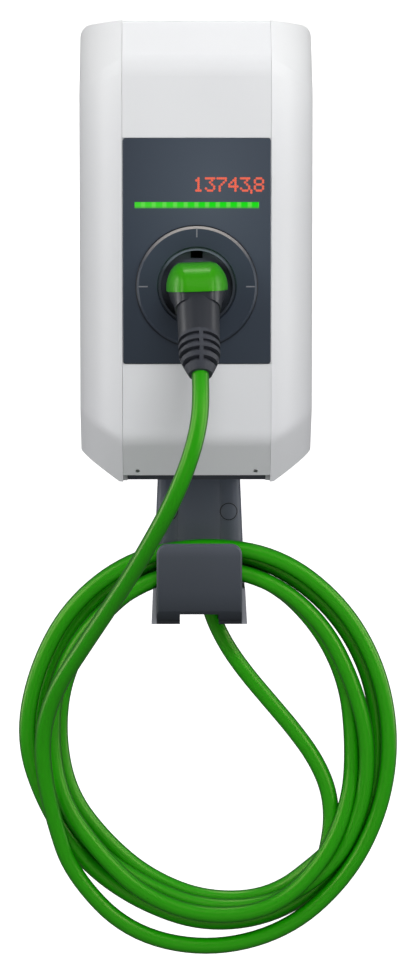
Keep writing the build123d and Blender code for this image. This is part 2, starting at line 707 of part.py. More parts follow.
def hood_form(inset):
    """The hood's outline, from its upright rim round the elbow to the grip, moved inwards by the inset."""
    bend = math.radians(GRIP_ANGLE / 2)
    elbow = (0, -ELBOW_DEPTH, SOCKET_Z)
    mitre = Plane(origin=elbow, x_dir=(1, 0, 0), z_dir=(0, -math.cos(bend), -math.sin(bend)))
    stations = [
        (front_plane(HOOD_BACK_DEPTH, 0, SOCKET_Z), HOOD_RADIUS, HOOD_FLAT),
        (front_plane(HOOD_SHOULDER_DEPTH, 0, SOCKET_Z), HOOD_RADIUS, HOOD_FLAT),
        (mitre, HOOD_RADIUS - 1, HOOD_FLAT + 0.4),
        (grip_plane(HOOD_END), GRIP_RADIUS + HOOD_WALL + 1, GRIP_RADIUS + HOOD_WALL - 3),
    ]
    faces = []
    for place, radius, flat in stations:
        faces.append(place * rounded_key(radius - inset, flat - inset, HOOD_CORNER - inset))
    return loft(faces)


def below_hood():
    """The space under the hood's lower edge."""
    reach = 2 * HOOD_RADIUS
    return block(-reach, reach, 0, ELBOW_DEPTH + reach, SOCKET_Z - reach, SOCKET_Z - HOOD_SKIRT)


def connector_hood():
    """The coloured cap over the connector's elbow, open below."""
    return hood_form(0) - hood_form(HOOD_WALL) - below_hood()


def connector_grip():
    """The black body: the elbow that fills the hood, and a slightly tapered handle."""
    handle = loft([grip_plane(0) * Circle(GRIP_RADIUS), grip_plane(GRIP_LENGTH) * Circle(BOOT_RADIUS)])
    reach = 2 * HOOD_RADIUS
    ledge = SOCKET_Z - HOOD_SKIRT - HOOD_LEDGE
    handle -= block(-reach, reach, 0, ELBOW_DEPTH + reach, ledge, SOCKET_Z + reach)
    return hood_form(HOOD_WALL) + handle


def boot_radius(length):
    """The boot's radius at a length from the grip."""
    shoulder = BOOT_LENGTH * 0.48
    if length <= shoulder:
        return BOOT_RADIUS
    share = (length - shoulder) / (BOOT_LENGTH - shoulder)
    return BOOT_RADIUS - (BOOT_RADIUS - BOOT_END_RADIUS) * share**1.25


def connector_boot():
    """The bend relief: a tapered sleeve with rows of slots on both sides of a spine."""
    steps = 8
    curve = []
    for step in range(steps + 1):
        length = BOOT_LENGTH * step / steps
        curve.append((boot_radius(length), length))
    outline = make_face(Polyline((0, 0), *curve, (0, BOOT_LENGTH), close=True))
    boot = revolve(Plane.XZ * outline, Axis.Z)
    spine = Box(2 * SPINE_HALF_WIDTH, 2 * BOOT_RADIUS, 2 * BOOT_LENGTH)
    for row in range(SLOT_COUNT):
        low = SLOT_START + row * SLOT_PITCH
        floor = boot_radius(low + SLOT_WIDTH) - SLOT_DEPTH
        band = Cylinder(BOOT_RADIUS + 1, SLOT_WIDTH, align=(Align.CENTER, Align.CENTER, Align.MIN))
        slot = Pos(0, 0, low) * band
        slot -= Pos(0, 0, low) * Cylinder(floor, SLOT_WIDTH, align=(Align.CENTER, Align.CENTER, Align.MIN))
        slot -= spine
        slot -= Pos(0, -BOOT_RADIUS, low) * Box(3 * BOOT_RADIUS, 2 * BOOT_RADIUS - SLOT_BACK, 3 * SLOT_WIDTH)
        boot -= slot
    return grip_plane(GRIP_LENGTH).location * Rot(0, 0, -BOOT_TWIST) * boot


# Cable holder: a hollow stem against the wall and a hook in front of it


def stem_face(half):
    """The stem from above: straight sides, two rounded wings and a rounded rib between two grooves."""
    groove = RIB_HALF_WIDTH + 2
    wing = HOLDER_DEPTH - RIB_PROUD
    side = wing - WING_DROP
    near = half - WING_CORNER
    edges = [
        Line((-half, -HOLDER_BACK), (half, -HOLDER_BACK)),
        Line((half, -HOLDER_BACK), (half, -side)),
        ThreePointArc((half, -side), (near, -wing), (groove, -wing + GROOVE_DEPTH)),
        ThreePointArc((groove, -wing + GROOVE_DEPTH), (0, -HOLDER_DEPTH), (-groove, -wing + GROOVE_DEPTH)),
        ThreePointArc((-groove, -wing + GROOVE_DEPTH), (-near, -wing), (-half, -side)),
        Line((-half, -side), (-half, -HOLDER_BACK)),
    ]
    return make_face(edges)


def stem_form(inset):
    top = stem_face(HOLDER_TOP_WIDTH / 2)
    bottom = stem_face(HOLDER_BOTTOM_WIDTH / 2)
    if inset:
        top, bottom = offset(top, -inset), offset(bottom, -inset)
    return loft([Pos(HOLDER_X, 0, HOLDER_BOTTOM) * bottom, Pos(HOLDER_X, 0, HOLDER_TOP) * top])


def saddle_face(grow):
    """The hook's saddle from the front: an arched top over two sides."""
    top = HOLDER_X, SADDLE_TOP + grow
    high_half = HOLDER_BOTTOM_WIDTH / 2 - SADDLE_TAPER + grow
    low_half = HOLDER_BOTTOM_WIDTH / 2 + grow
    shoulder = SADDLE_TOP - SADDLE_DROP + grow
    right, left = HOLDER_X + high_half, HOLDER_X - high_half
    edges = [
        ThreePointArc((left, shoulder), top, (right, shoulder)),
        Line((right, shoulder), (HOLDER_X + low_half, HOLDER_BOTTOM)),
        Line((HOLDER_X + low_half, HOLDER_BOTTOM), (HOLDER_X - low_half, HOLDER_BOTTOM)),
        Line((HOLDER_X - low_half, HOLDER_BOTTOM), (left, shoulder)),
    ]
    return make_face(edges)


def holder_screw_places():
    return [(HOLDER_X + side * HOLDER_SCREW_X, HOLDER_SCREW_Z) for side in (-1, 1)]


def cable_holder():
    """One moulding: the stem with its screw wells, the saddle for the coil and the plate before it."""
    outside = stem_form(0)
    holder = outside - stem_form(HOLDER_WALL)
    open_half = HOLDER_TOP_WIDTH / 2 - HOLDER_WALL
    holder -= block(
        HOLDER_X - open_half, HOLDER_X + open_half, -1, HOLDER_WALL + 1, HOLDER_BOTTOM - 1, HOLDER_TOP + 1
    )
    seat = HOLDER_DEPTH - RIB_PROUD - CAP_SINK
    for x, z in holder_screw_places():
        holder += rod(x, z, CAP_RADIUS + 2, HOLDER_BACK, HOLDER_DEPTH) & outside
        holder -= rod(x, z, CAP_RADIUS - 2, HOLDER_FOOT, HOLDER_DEPTH)
        holder -= rod(x, z, CAP_RADIUS + CAP_CLEARANCE, seat, HOLDER_DEPTH + 1)
        holder -= rod(x, z, HOLDER_HOLE_RADIUS, -1, HOLDER_FOOT + 1)
    back = HOLDER_DEPTH - RIB_PROUD - 2
    front = HOLDER_DEPTH + THROAT
    saddle = extrude(front_plane(back) * saddle_face(0), front - back)
    hollow = offset(saddle_face(0), -SADDLE_WALL)
    saddle -= extrude(front_plane(HOLDER_DEPTH) * hollow, THROAT - SADDLE_WALL)
    inner = HOLDER_BOTTOM_WIDTH / 2 - SADDLE_WALL
    saddle -= block(
        HOLDER_X - inner, HOLDER_X + inner, HOLDER_DEPTH, front - SADDLE_WALL, HOLDER_BOTTOM - 1, HOLDER_BOTTOM + 5
    )
    holder += saddle - stem_form(HOLDER_WALL)
    holder += hook_plate(front)
    notch = NOTCH_WIDTH / 2
    holder -= block(
        HOLDER_X - notch, HOLDER_X + notch, HOLDER_DEPTH - 12, front + PLATE_THICKNESS + 1,
        HOLDER_BOTTOM - 1, PLATE_BOTTOM - NOTCH_DROP
    )
    return holder


def hook_plate(back):
    """The plate in front of the throat: round upper corners, a bevelled rim and a bevel below."""
    half = PLATE_WIDTH / 2
    low = PLATE_BOTTOM - PLATE_BEVEL_HEIGHT
    height = PLATE_TOP - low
    outline = Pos(0, height / 2) * Rectangle(2 * half, height)
    upper = outline.vertices().sort_by(Axis.Y)[-2:]
    outline = fillet(upper, PLATE_CORNER)
    plate = extrude(front_plane(back, HOLDER_X, low) * outline, PLATE_THICKNESS)
    front = back + PLATE_THICKNESS
    rim = plate.faces().sort_by(Axis.Y)[0].edges().filter_by(lambda edge: edge.center().Z > low + 1)
    plate = chamfer(rim, PLATE_RIM_BEVEL)
    wedge = make_face(
        Polyline(
            (front + 1, PLATE_BOTTOM),
            (front, PLATE_BOTTOM),
            (back + 1, low - 1),
            (front + 1, low - 1),
            close=True,
        )
    )
    return plate - extrude(side_plane(HOLDER_X + half + 1) * wedge, 2 * half + 2)


def holder_caps():
    """The two round plugs over the holder's screws, flush with its wings."""
    caps = []
    seat = HOLDER_DEPTH - RIB_PROUD - CAP_SINK
    outside = stem_form(0)
    for x, z in holder_screw_places():
        caps.append(rod(x, z, CAP_RADIUS, seat, HOLDER_DEPTH + 1) & outside)
    return caps


# Gland through the base's sill, inside the top of the stem


def cable_gland():
    """A gland with a hexagon, a thread up through the sill and a clamping cone below."""
    place = Pos(GLAND_X, -GLAND_DEPTH, BASE_SILL_BOTTOM)
    up = (Align.CENTER, Align.CENTER, Align.MIN)
    down = (Align.CENTER, Align.CENTER, Align.MAX)
    thread = Cylinder(GLAND_THREAD_RADIUS, GLAND_THREAD_LENGTH, align=up)
    hexagon = extrude(RegularPolygon(GLAND_HEX_RADIUS, 6), -GLAND_HEX_HEIGHT)
    neck = Pos(0, 0, -GLAND_HEX_HEIGHT) * Cylinder(GLAND_THREAD_RADIUS, GLAND_NECK, align=down)
    bore = Pos(0, 0, -GLAND_HEX_HEIGHT - GLAND_NECK) * Cylinder(GLAND_BORE_RADIUS, 60, align=up)
    return place * (thread + hexagon + neck - bore)


def gland_nut():
    """The lock nut on the gland's thread, above the sill."""
    nut = extrude(RegularPolygon(GLAND_HEX_RADIUS, 6), GLAND_NUT_HEIGHT)
    nut -= Cylinder(GLAND_THREAD_RADIUS + 0.05, 3 * GLAND_NUT_HEIGHT)
    return Pos(GLAND_X, -GLAND_DEPTH, BASE_SILL_TOP) * nut


def gland_cap():
    """The domed cap that squeezes the gland's seal round the cable."""
    top = -GLAND_HEX_HEIGHT
    outline = Polyline(
        (CABLE_RADIUS + 0.3, top - GLAND_CAP_HEIGHT),
        (GLAND_HEX_RADIUS - 4, top - GLAND_CAP_HEIGHT),
        (GLAND_HEX_RADIUS - 1.5, top - GLAND_CAP_HEIGHT + 5),
        (GLAND_HEX_RADIUS - 1.5, top),
        (GLAND_THREAD_RADIUS + 0.05, top),
        (GLAND_THREAD_RADIUS + 0.05, top - GLAND_NECK - 0.2),
        (CABLE_RADIUS + 0.3, top - GLAND_NECK - 0.2),
        close=True,
    )
    cap = revolve(Plane.XZ * make_face(outline), Axis.Z)
    return Pos(GLAND_X, -GLAND_DEPTH, BASE_SILL_BOTTOM) * cap


# Cable

CABLE_RADIUS = CABLE_DIAMETER / 2
CAP_END = BASE_SILL_BOTTOM - GLAND_HEX_HEIGHT - GLAND_NECK


def corner_radii(points):
    """The arc at each inner point of a route: 0.45 of the shorter run over the tangent of half the turn."""
    radii = []
    for before, here, after in zip(points, points[1:], points[2:]):
        arriving = Vector(*here) - Vector(*before)
        leaving = Vector(*after) - Vector(*here)
        turn = math.radians(arriving.get_angle(leaving))
        radii.append(0.45 * min(arriving.length, leaving.length) / math.tan(turn / 2))
    return radii


def cable_tube(name, route):
    """A plain round tube along a route of straight runs joined by tangent arcs."""
    points = [(x, -depth, z) for x, depth, z in route]
    radii = corner_radii(points)
    path = FilletPolyline(*points, radius=radii)
    start = Plane(origin=points[0], z_dir=Vector(*points[1]) - Vector(*points[0]))
    tube = sweep(start * Circle(CABLE_RADIUS), path)
    print(name, "length", round(path.length), "radii", [round(radius) for radius in radii])
    straight = math.pi * CABLE_RADIUS**2 * path.length
    print(name, "volume over section times length", round(tube.volume / straight, 4))
    return tube


# Each point is x, depth in front of the wall, z
TAIL_ROUTE = [
    (GLAND_X, GLAND_DEPTH, CAP_END),
    (GLAND_X, GLAND_DEPTH, CAP_END - 30),
    (4.5, 31.5, -306),
    (8, 34.5, -344),
    (15.5, 33.5, -380),
    (31, 41, -412),
    (52, 49, -441),
    (77, 55, -470),
    (102, 60, -499),
    (124, 63, -529),
    (138.5, 65, -561),
    (142, 67, -594),
    (137, 69, -626),
]
BOOT_END = rolled(Pos(*grip_point(GRIP_LENGTH + BOOT_LENGTH))).position
BOOT_AHEAD = rolled(Pos(*grip_point(GRIP_LENGTH + BOOT_LENGTH + 28))).position
LEAD_ROUTE = [
    (BOOT_END.X, -BOOT_END.Y, BOOT_END.Z),
    (BOOT_AHEAD.X, -BOOT_AHEAD.Y, BOOT_AHEAD.Z),
    (0.5, 298.5, -167.5),
    (-8.5, 302.5, -200),
    (-23, 293.5, -236),
    (-43, 267, -276),
    (-66, 234, -318),
    (-92, 200, -360),
    (-118, 168, -402),
    (-143, 140, -443),
    (-158, 119, -487),
    (-159, 106, -532),
    (-148, 96, -577),
    (-128, 86, -622),
    (-104, 78, -660),
]
COIL_OUTER = [
    (9, -302), (84, -312), (143, -349), (187, -410), (209, -497), (200, -581), (159, -659), (99, -710),
    (10, -738), (-59, -723), (-114, -684), (-153, -623), (-176, -557), (-185, -495), (-169, -425),
    (-127, -359), (-66, -317)
]
COIL_INNER = [
    (4, -337), (49, -343), (98, -374), (140, -447), (154, -529), (130, -616), (95, -655), (43, -675),
    (-9, -666), (-67, -635), (-112, -576), (-133, -485), (-114, -423), (-61, -358), (-40, -346)
]


def cable_tail():
    return cable_tube("tail", TAIL_ROUTE)


def cable_lead():
    return cable_tube("lead", LEAD_ROUTE)


def cable_coil():
    """The outer shape of the coil: a loose ring that hangs over the saddle."""
    outer = make_face(Spline(*COIL_OUTER, periodic=True))
    inner = make_face(Spline(*COIL_INNER, periodic=True))
    ring = extrude(front_plane(COIL_BACK_DEPTH) * (outer - inner), COIL_THICKNESS)
    saddle = extrude(front_plane(HOLDER_DEPTH) * saddle_face(COIL_SEAT), THROAT)
    return ring - saddle


# Inside the housing


def supply_grommet():
    """The rubber grommet that the supply cable comes in through, snapped into the back plate."""
    flange = rod(*SUPPLY_PLACE, GROMMET_FLANGE_RADIUS, BASE_BACK, BASE_BACK + GROMMET_FLANGE)
    neck = rod(*SUPPLY_PLACE, GROMMET_NECK_RADIUS, 0.2, BASE_BACK)
    return flange + neck - rod(*SUPPLY_PLACE, SUPPLY_HOLE_RADIUS, -1, BASE_BACK + GROMMET_FLANGE + 1)


def din_rail():
    """The top-hat rail across the base."""
    base = RAIL_BASE_WIDTH / 2
    lip = RAIL_WIDTH / 2
    low, high, thick = RAIL_DEPTH, RAIL_DEPTH + RAIL_HEIGHT, RAIL_THICKNESS
    outline = Polyline(
        (low, -base), (high - thick, -base), (high - thick, -lip), (high, -lip), (high, thick - base),
        (low + thick, thick - base), (low + thick, base - thick), (high, base - thick), (high, lip),
        (high - thick, lip), (high - thick, base), (low, base),
        close=True,
    )
    place = Plane(origin=(RAIL_LENGTH / 2, 0, RAIL_Z), x_dir=(0, -1, 0), z_dir=(-1, 0, 0))
    rail = extrude(place * make_face(outline), RAIL_LENGTH)
    for x, z in rail_points():
        rail -= rod(x, z, SCREW_RADIUS + 0.3, low - 1, high + 1)
    return rail


def pan_screw(x, z, seat_depth, length):
    """A screw with a round head on its seat and its shank towards the wall."""
    head = rod(x, z, SCREW_HEAD_RADIUS, seat_depth, seat_depth + SCREW_HEAD_HEIGHT)
    shank = rod(x, z, SCREW_RADIUS, seat_depth - length, seat_depth)
    slot = block(x - SCREW_HEAD_RADIUS, x + SCREW_HEAD_RADIUS, seat_depth + SCREW_HEAD_HEIGHT / 2,
                 seat_depth + SCREW_HEAD_HEIGHT + 1, z - 0.4, z + 0.4)
    return head + shank - slot


def rail_screws():
    return [pan_screw(x, z, RAIL_DEPTH + RAIL_THICKNESS, RAIL_SCREW_LENGTH) for x, z in rail_points()]


def board_screws():
    return [pan_screw(x, z, BOARD_DEPTH + BOARD_THICKNESS, BOARD_SCREW_LENGTH) for x, z in board_points()]


def rail_module(x_low, width, height, nose_height, depth):
    """A device on the rail: a body with shoulders and a nose that stands further out."""
    back = RAIL_DEPTH + RAIL_HEIGHT + RAIL_FIT
    shoulder = back + MODULE_SHOULDER
    body = block(x_low, x_low + width, back, shoulder, RAIL_Z - height / 2, RAIL_Z + height / 2)
    return body + block(x_low, x_low + width, back, depth, RAIL_Z - nose_height / 2, RAIL_Z + nose_height / 2)


def module_start(index):
    """The left side of a device, counted along the rail."""
    widths = [TERMINAL_WIDTH, FUSE_WIDTH, METER_WIDTH, CONTACTOR_WIDTH]
    return MODULE_LEFT + sum(widths[:index]) + index * MODULE_GAP


def terminal_places():
    """The middle of each pole of the terminal block, for both rows of screws."""
    pitch = TERMINAL_WIDTH / TERMINAL_POLES
    rows = (RAIL_Z - TERMINAL_ROW, RAIL_Z + TERMINAL_ROW)
    return [(module_start(0) + (pole + 0.5) * pitch, z) for z in rows for pole in range(TERMINAL_POLES)]


def terminal_block():
    """Five poles in a row, with a screw well above and below in each, and a wire mouth under each well."""
    body = rail_module(module_start(0), TERMINAL_WIDTH, TERMINAL_HEIGHT, TERMINAL_HEIGHT, TERMINAL_DEPTH)
    for x, z in terminal_places():
        body -= rod(x, z, TERMINAL_SCREW_RADIUS + 0.3, TERMINAL_DEPTH - TERMINAL_WELL, TERMINAL_DEPTH + 1)
        outward = 1 if z > RAIL_Z else -1
        mouth = TERMINAL_DEPTH - TERMINAL_WELL - 6
        inner = RAIL_Z + outward * (TERMINAL_ROW + 2)
        outer = RAIL_Z + outward * (TERMINAL_HEIGHT / 2 + 1)
        z_low, z_high = sorted((inner, outer))
        body -= block(x - 2.8, x + 2.8, mouth - 2.8, mouth + 2.8, z_low, z_high)
    return body


def terminal_screws():
    screws = []
    floor = TERMINAL_DEPTH - TERMINAL_WELL
    for x, z in terminal_places():
        screw = rod(x, z, TERMINAL_SCREW_RADIUS, floor, floor + 3)
        screws.append(screw - block(x - 4, x + 4, floor + 2, floor + 4, z - 0.5, z + 0.5))
    return screws


def energy_meter():
    meter = rail_module(module_start(2), METER_WIDTH, MODULE_HEIGHT, MODULE_NOSE, METER_DEPTH)
    middle = module_start(2) + METER_WIDTH / 2
    return meter - block(middle - 18, middle + 18, METER_DEPTH - 1, METER_DEPTH + 1, RAIL_Z + 4, RAIL_Z + 16)


def contactor():
    body = rail_module(module_start(3), CONTACTOR_WIDTH, MODULE_HEIGHT, CONTACTOR_NOSE, CONTACTOR_DEPTH)
    pitch = CONTACTOR_WIDTH / 4
    shoulder = RAIL_DEPTH + RAIL_HEIGHT + RAIL_FIT + MODULE_SHOULDER
    for pole in range(4):
        x = module_start(3) + (pole + 0.5) * pitch
        for side in (-1, 1):
            z = RAIL_Z + side * (CONTACTOR_NOSE / 2 + (MODULE_HEIGHT - CONTACTOR_NOSE) / 4)
            body -= rod(x, z, 3.6, shoulder - 6, shoulder + 1)
    return body


# Fuse holder: its drawer swings out about a pin


def fuse_pivot():
    """The depth and height of the fuse drawer's pin."""
    return FUSE_BACK + FUSE_THICKNESS / 2, RAIL_Z - FUSE_DRAWER_HEIGHT / 2 + FUSE_THICKNESS / 2


def fuse_middle():
    return module_start(1) + FUSE_WIDTH / 2


def across(x, depth, z, radius, length):
    """A round bar along X with its middle at the given place."""
    return Pos(x, -depth, z) * Rot(0, 90, 0) * Cylinder(radius, length)


def fuse_holder():
    front = FUSE_BACK + FUSE_THICKNESS
    body = rail_module(module_start(1), FUSE_WIDTH, MODULE_HEIGHT, FUSE_NOSE, front)
    half = FUSE_DRAWER_WIDTH / 2 + FUSE_SIDE_CLEARANCE
    x = fuse_middle()
    depth, z = fuse_pivot()
    low = z - FUSE_THICKNESS / 2 - FUSE_CLEARANCE
    swing = math.hypot(FUSE_DRAWER_HEIGHT - FUSE_THICKNESS / 2, FUSE_THICKNESS / 2)
    body -= block(x - half, x + half, FUSE_BACK - FUSE_CLEARANCE, front + 1, low, z + swing + FUSE_CLEARANCE)
    return body - across(x, depth, z, PIN_RADIUS, FUSE_PIN_LENGTH)


def fuse_pin():
    depth, z = fuse_pivot()
    return across(fuse_middle(), depth, z, PIN_RADIUS, FUSE_PIN_LENGTH)


def fuse_drawer():
    """The drawer: round at its hinged end, with a lip to pull at the top and a pocket for the fuse."""
    x = fuse_middle()
    half = FUSE_DRAWER_WIDTH / 2
    depth, z = fuse_pivot()
    top = RAIL_Z + FUSE_DRAWER_HEIGHT / 2
    front = FUSE_BACK + FUSE_THICKNESS
    drawer = block(x - half, x + half, FUSE_BACK, front, z, top)
    drawer += across(x, depth, z, FUSE_THICKNESS / 2, FUSE_DRAWER_WIDTH)
    drawer += block(x - half, x + half, front, front + FUSE_LIP, top - FUSE_LIP, top)
    drawer -= across(x, depth, z, PIN_RADIUS + PIN_CLEARANCE, FUSE_DRAWER_WIDTH + 1)
    low = top - FUSE_LENGTH - FUSE_END_WALL
    drawer -= block(x - FUSE_RADIUS, x + FUSE_RADIUS, FUSE_BACK - 1, depth, low, top - FUSE_END_WALL)
    bed = Cylinder(FUSE_RADIUS, FUSE_LENGTH, align=(Align.CENTER, Align.CENTER, Align.MIN))
    drawer -= Pos(x, -depth, low) * bed
    return drawer


def fuse():
    depth, z = fuse_pivot()
    low = RAIL_Z + FUSE_DRAWER_HEIGHT / 2 - FUSE_LENGTH - FUSE_END_WALL
    tube = Cylinder(FUSE_RADIUS - 0.2, FUSE_LENGTH - 0.4, align=(Align.CENTER, Align.CENTER, Align.MIN))
    return Pos(fuse_middle(), -depth, low + 0.2) * tube


# Control board and what stands on it

BOARD_FRONT = BOARD_DEPTH + BOARD_THICKNESS


def control_board():
    """The board: a green plate with its relay blocks, transformer and plug rows."""
    half_width, half_height = BOARD_WIDTH / 2, BOARD_HEIGHT / 2
    bottom, top = BOARD_Z - half_height, BOARD_Z + half_height
    board = block(-half_width, half_width, BOARD_DEPTH, BOARD_FRONT, bottom, top)
    for x, z in board_points():
        board -= rod(x, z, SCREW_RADIUS + 0.3, BOARD_DEPTH - 1, BOARD_FRONT + 1)
    low = bottom + COMPONENT_EDGE
    for index in range(RELAY_COUNT):
        x = COMPONENT_START - half_width + index * (RELAY_WIDTH + COMPONENT_GAP)
        board += block(x, x + RELAY_WIDTH, BOARD_FRONT, BOARD_FRONT + RELAY_HEIGHT, low, low + RELAY_LENGTH)
    for index in range(PLUG_COUNT):
        x = half_width - COMPONENT_START - (index + 1) * PLUG_PITCH
        board += block(x, x + PLUG_WIDTH, BOARD_FRONT, BOARD_FRONT + PLUG_HEIGHT, low, low + PLUG_LENGTH)
    chip = CHIP_SIDE / 2
    chip_top = BOARD_FRONT + CHIP_HEIGHT
    return board + block(CHIP_X - chip, CHIP_X + chip, BOARD_FRONT, chip_top, BOARD_Z - chip, BOARD_Z + chip)


def power_supply():
    """The encapsulated mains supply on the board."""
    x = COMPONENT_START - BOARD_WIDTH / 2
    z = BOARD_Z + BOARD_HEIGHT / 2 - COMPONENT_EDGE
    return block(x, x + SUPPLY_WIDTH, BOARD_FRONT, BOARD_FRONT + SUPPLY_HEIGHT, z - SUPPLY_LENGTH, z)


def button_case():
    x, z = BUTTON_PLACE
    side = BUTTON_CASE / 2
    case = block(x - side, x + side, BOARD_FRONT, BOARD_FRONT + BUTTON_CASE_HEIGHT, z - side, z + side)
    front = BOARD_FRONT + BUTTON_CASE_HEIGHT + 1
    return case - rod(x, z, BUTTON_RADIUS + 0.3, BOARD_FRONT + BUTTON_FLOOR, front)


def service_button():
    x, z = BUTTON_PLACE
    low = BOARD_FRONT + BUTTON_FLOOR + BUTTON_TRAVEL + 0.3
    return rod(x, z, BUTTON_RADIUS, low, low + BUTTON_HEIGHT)


def selector_case():
    x, z = SELECTOR_PLACE
    side = SELECTOR_CASE / 2
    top = BOARD_FRONT + SELECTOR_CASE_HEIGHT
    case = block(x - side, x + side, BOARD_FRONT, top, z - side, z + side)
    return case - rod(x, z, SELECTOR_RADIUS + 0.3, top - SELECTOR_SINK, top + 1)


def current_selector():
    """The rotary switch that sets the largest current: a disc with a raised arrow-shaped grip."""
    x, z = SELECTOR_PLACE
    low = BOARD_FRONT + SELECTOR_CASE_HEIGHT - SELECTOR_SINK + 0.3
    top = low + SELECTOR_SINK
    disc = rod(x, z, SELECTOR_RADIUS, low, top)
    points = [(-1.2, -4.0), (1.2, -4.0), (1.2, 1.5), (2.6, 1.5), (0, 5.0), (-2.6, 1.5), (-1.2, 1.5)]
    arrow = Polyline(*points, close=True)
    return disc + extrude(front_plane(top, x, z) * make_face(arrow), SELECTOR_GRIP)


def lamp_board():
    """The board behind the panel, with the lamps of the light bar and the digits."""
    half = LAMP_BOARD_WIDTH / 2
    front = LAMP_BOARD_DEPTH + BOARD_THICKNESS
    return block(-half, half, LAMP_BOARD_DEPTH, front, LAMP_BOARD_LOW, LAMP_BOARD_HIGH)


def display_module():
    """The block of light-emitting dots behind the panel."""
    front = LAMP_BOARD_DEPTH + BOARD_THICKNESS
    half = DISPLAY_WIDTH / 2 - 1
    rise = DISPLAY_HEIGHT / 2 - 1
    return block(DISPLAY_X - half, DISPLAY_X + half, front, PANEL_BACK, DISPLAY_Z - rise, DISPLAY_Z + rise)


def current_sensor():
    """The ring that feels a leakage current: a core round the conductors, on a foot."""
    x, z = SENSOR_PLACE
    depth = BASE_BACK + SENSOR_RADIUS
    core = Pos(x, -depth, z) * Cylinder(SENSOR_RADIUS, SENSOR_LENGTH)
    half = SENSOR_LENGTH / 2
    foot = block(x - SENSOR_RADIUS, x + SENSOR_RADIUS, BASE_BACK, depth, z - half, z + half)
    return core + foot - Pos(x, -depth, z) * Cylinder(SENSOR_BORE, 2 * SENSOR_LENGTH)


# Every piece, under the name of its file

PIECES = {
    "housing_shell": housing_shell(),
    "front_cover": front_cover(),
    "cover_screws": cover_screws(),
    "cover_seal": base_seal(),
    "base_tray": base_tray(),
    "front_panel": front_panel(),
    "light_bar": light_bar(),
    "lamp_board": lamp_board(),
    "display_module": display_module(),
    "holster_ring": holster_ring(),
    "holster_cup": holster_cup(),
    "connector_nose": connector_nose(),
    "connector_contacts": connector_contacts(),
    "connector_hood": rolled(connector_hood()),
    "connector_grip": rolled(connector_grip()),
    "connector_boot": rolled(connector_boot()),
    "cable_holder": cable_holder(),
    "holder_caps": holder_caps(),
    "cable_gland": cable_gland(),
    "gland_nut": gland_nut(),
    "gland_cap": gland_cap(),
    "cable_tail": cable_tail(),
    "cable_coil": cable_coil(),
    "cable_lead": cable_lead(),
    "supply_grommet": supply_grommet(),
    "din_rail": din_rail(),
    "rail_screws": rail_screws(),
    "board_screws": board_screws(),
    "terminal_block": terminal_block(),
    "terminal_screws": terminal_screws(),
    "energy_meter": energy_meter(),
    "contactor": contactor(),
    "current_sensor": current_sensor(),
    "fuse_holder": fuse_holder(),
    "fuse_pin": fuse_pin(),
    "fuse_drawer": fuse_drawer(),
    "fuse": fuse(),
    "control_board": control_board(),
    "power_supply": power_supply(),
    "button_case": button_case(),
    "service_button": service_button(),
    "selector_case": selector_case(),
    "current_selector": current_selector(),
}

os.makedirs("parts", exist_ok=True)
for name, piece in PIECES.items():
    if isinstance(piece, list):
        solids = [solid for item in piece for solid in item.solids()]
        piece = Compound(children=solids)
    export_step(piece, f"parts/{name}.step")
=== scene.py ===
import json
import math

import bpy
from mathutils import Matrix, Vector


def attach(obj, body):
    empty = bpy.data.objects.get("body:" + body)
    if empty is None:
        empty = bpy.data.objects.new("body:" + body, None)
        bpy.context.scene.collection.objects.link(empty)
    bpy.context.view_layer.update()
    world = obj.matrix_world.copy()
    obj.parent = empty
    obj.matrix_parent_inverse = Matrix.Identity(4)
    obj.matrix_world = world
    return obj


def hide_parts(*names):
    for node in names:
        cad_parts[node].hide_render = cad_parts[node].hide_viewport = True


# Wall box for charging an electric car, in the frame of the CAD model: metres, X right, Y into the wall, Z up

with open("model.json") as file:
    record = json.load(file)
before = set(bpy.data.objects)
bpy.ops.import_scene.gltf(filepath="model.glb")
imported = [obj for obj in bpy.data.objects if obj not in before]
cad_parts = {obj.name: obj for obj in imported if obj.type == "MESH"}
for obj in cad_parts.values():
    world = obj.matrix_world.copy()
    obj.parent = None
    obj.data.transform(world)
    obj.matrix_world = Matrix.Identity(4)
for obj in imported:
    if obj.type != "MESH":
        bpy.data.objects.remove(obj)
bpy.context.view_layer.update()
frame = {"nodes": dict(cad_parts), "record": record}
MM = 0.001
BODY = "wall_box"
SOCKET_Z = -33.9
HOLDER_X = 3.0


def spot(x, depth, z):
    """A point from millimetres, with the depth counted outwards from the wall."""
    return Vector((x * MM, -depth * MM, z * MM))


# Materials


def linear(red, green, blue):
    """A screen colour from 0 to 255 as the linear colour that a shader takes."""
    parts = []
    for value in (red, green, blue):
        share = value / 255
        parts.append(share / 12.92 if share <= 0.04045 else ((share + 0.055) / 1.055) ** 2.4)
    return (*parts, 1.0)


def shader_of(material):
    """The nodes and the links of a material, and its main shader."""
    tree = material.node_tree
    return tree.nodes, tree.links, tree.nodes["Principled BSDF"]


def placed(material):
    """The node that tells where on its object a point of the surface lies, in metres."""
    return material.node_tree.nodes.new("ShaderNodeTexCoord")


def axes(material, vector):
    """The X, Y and Z of a vector as outputs."""
    nodes, links, _ = shader_of(material)
    parts = nodes.new("ShaderNodeSeparateXYZ")
    links.new(vector, parts.inputs["Vector"])
    return parts.outputs


def vector_step(material, operation, vector, fixed=None):
    """The output of one calculation on a vector, with a fixed second vector where it takes one."""
    nodes, links, _ = shader_of(material)
    step = nodes.new("ShaderNodeVectorMath")
    step.operation = operation
    links.new(vector, step.inputs[0])
    if fixed is not None:
        step.inputs[1].default_value = fixed
    return step.outputs["Value" if operation == "DISTANCE" else "Vector"]


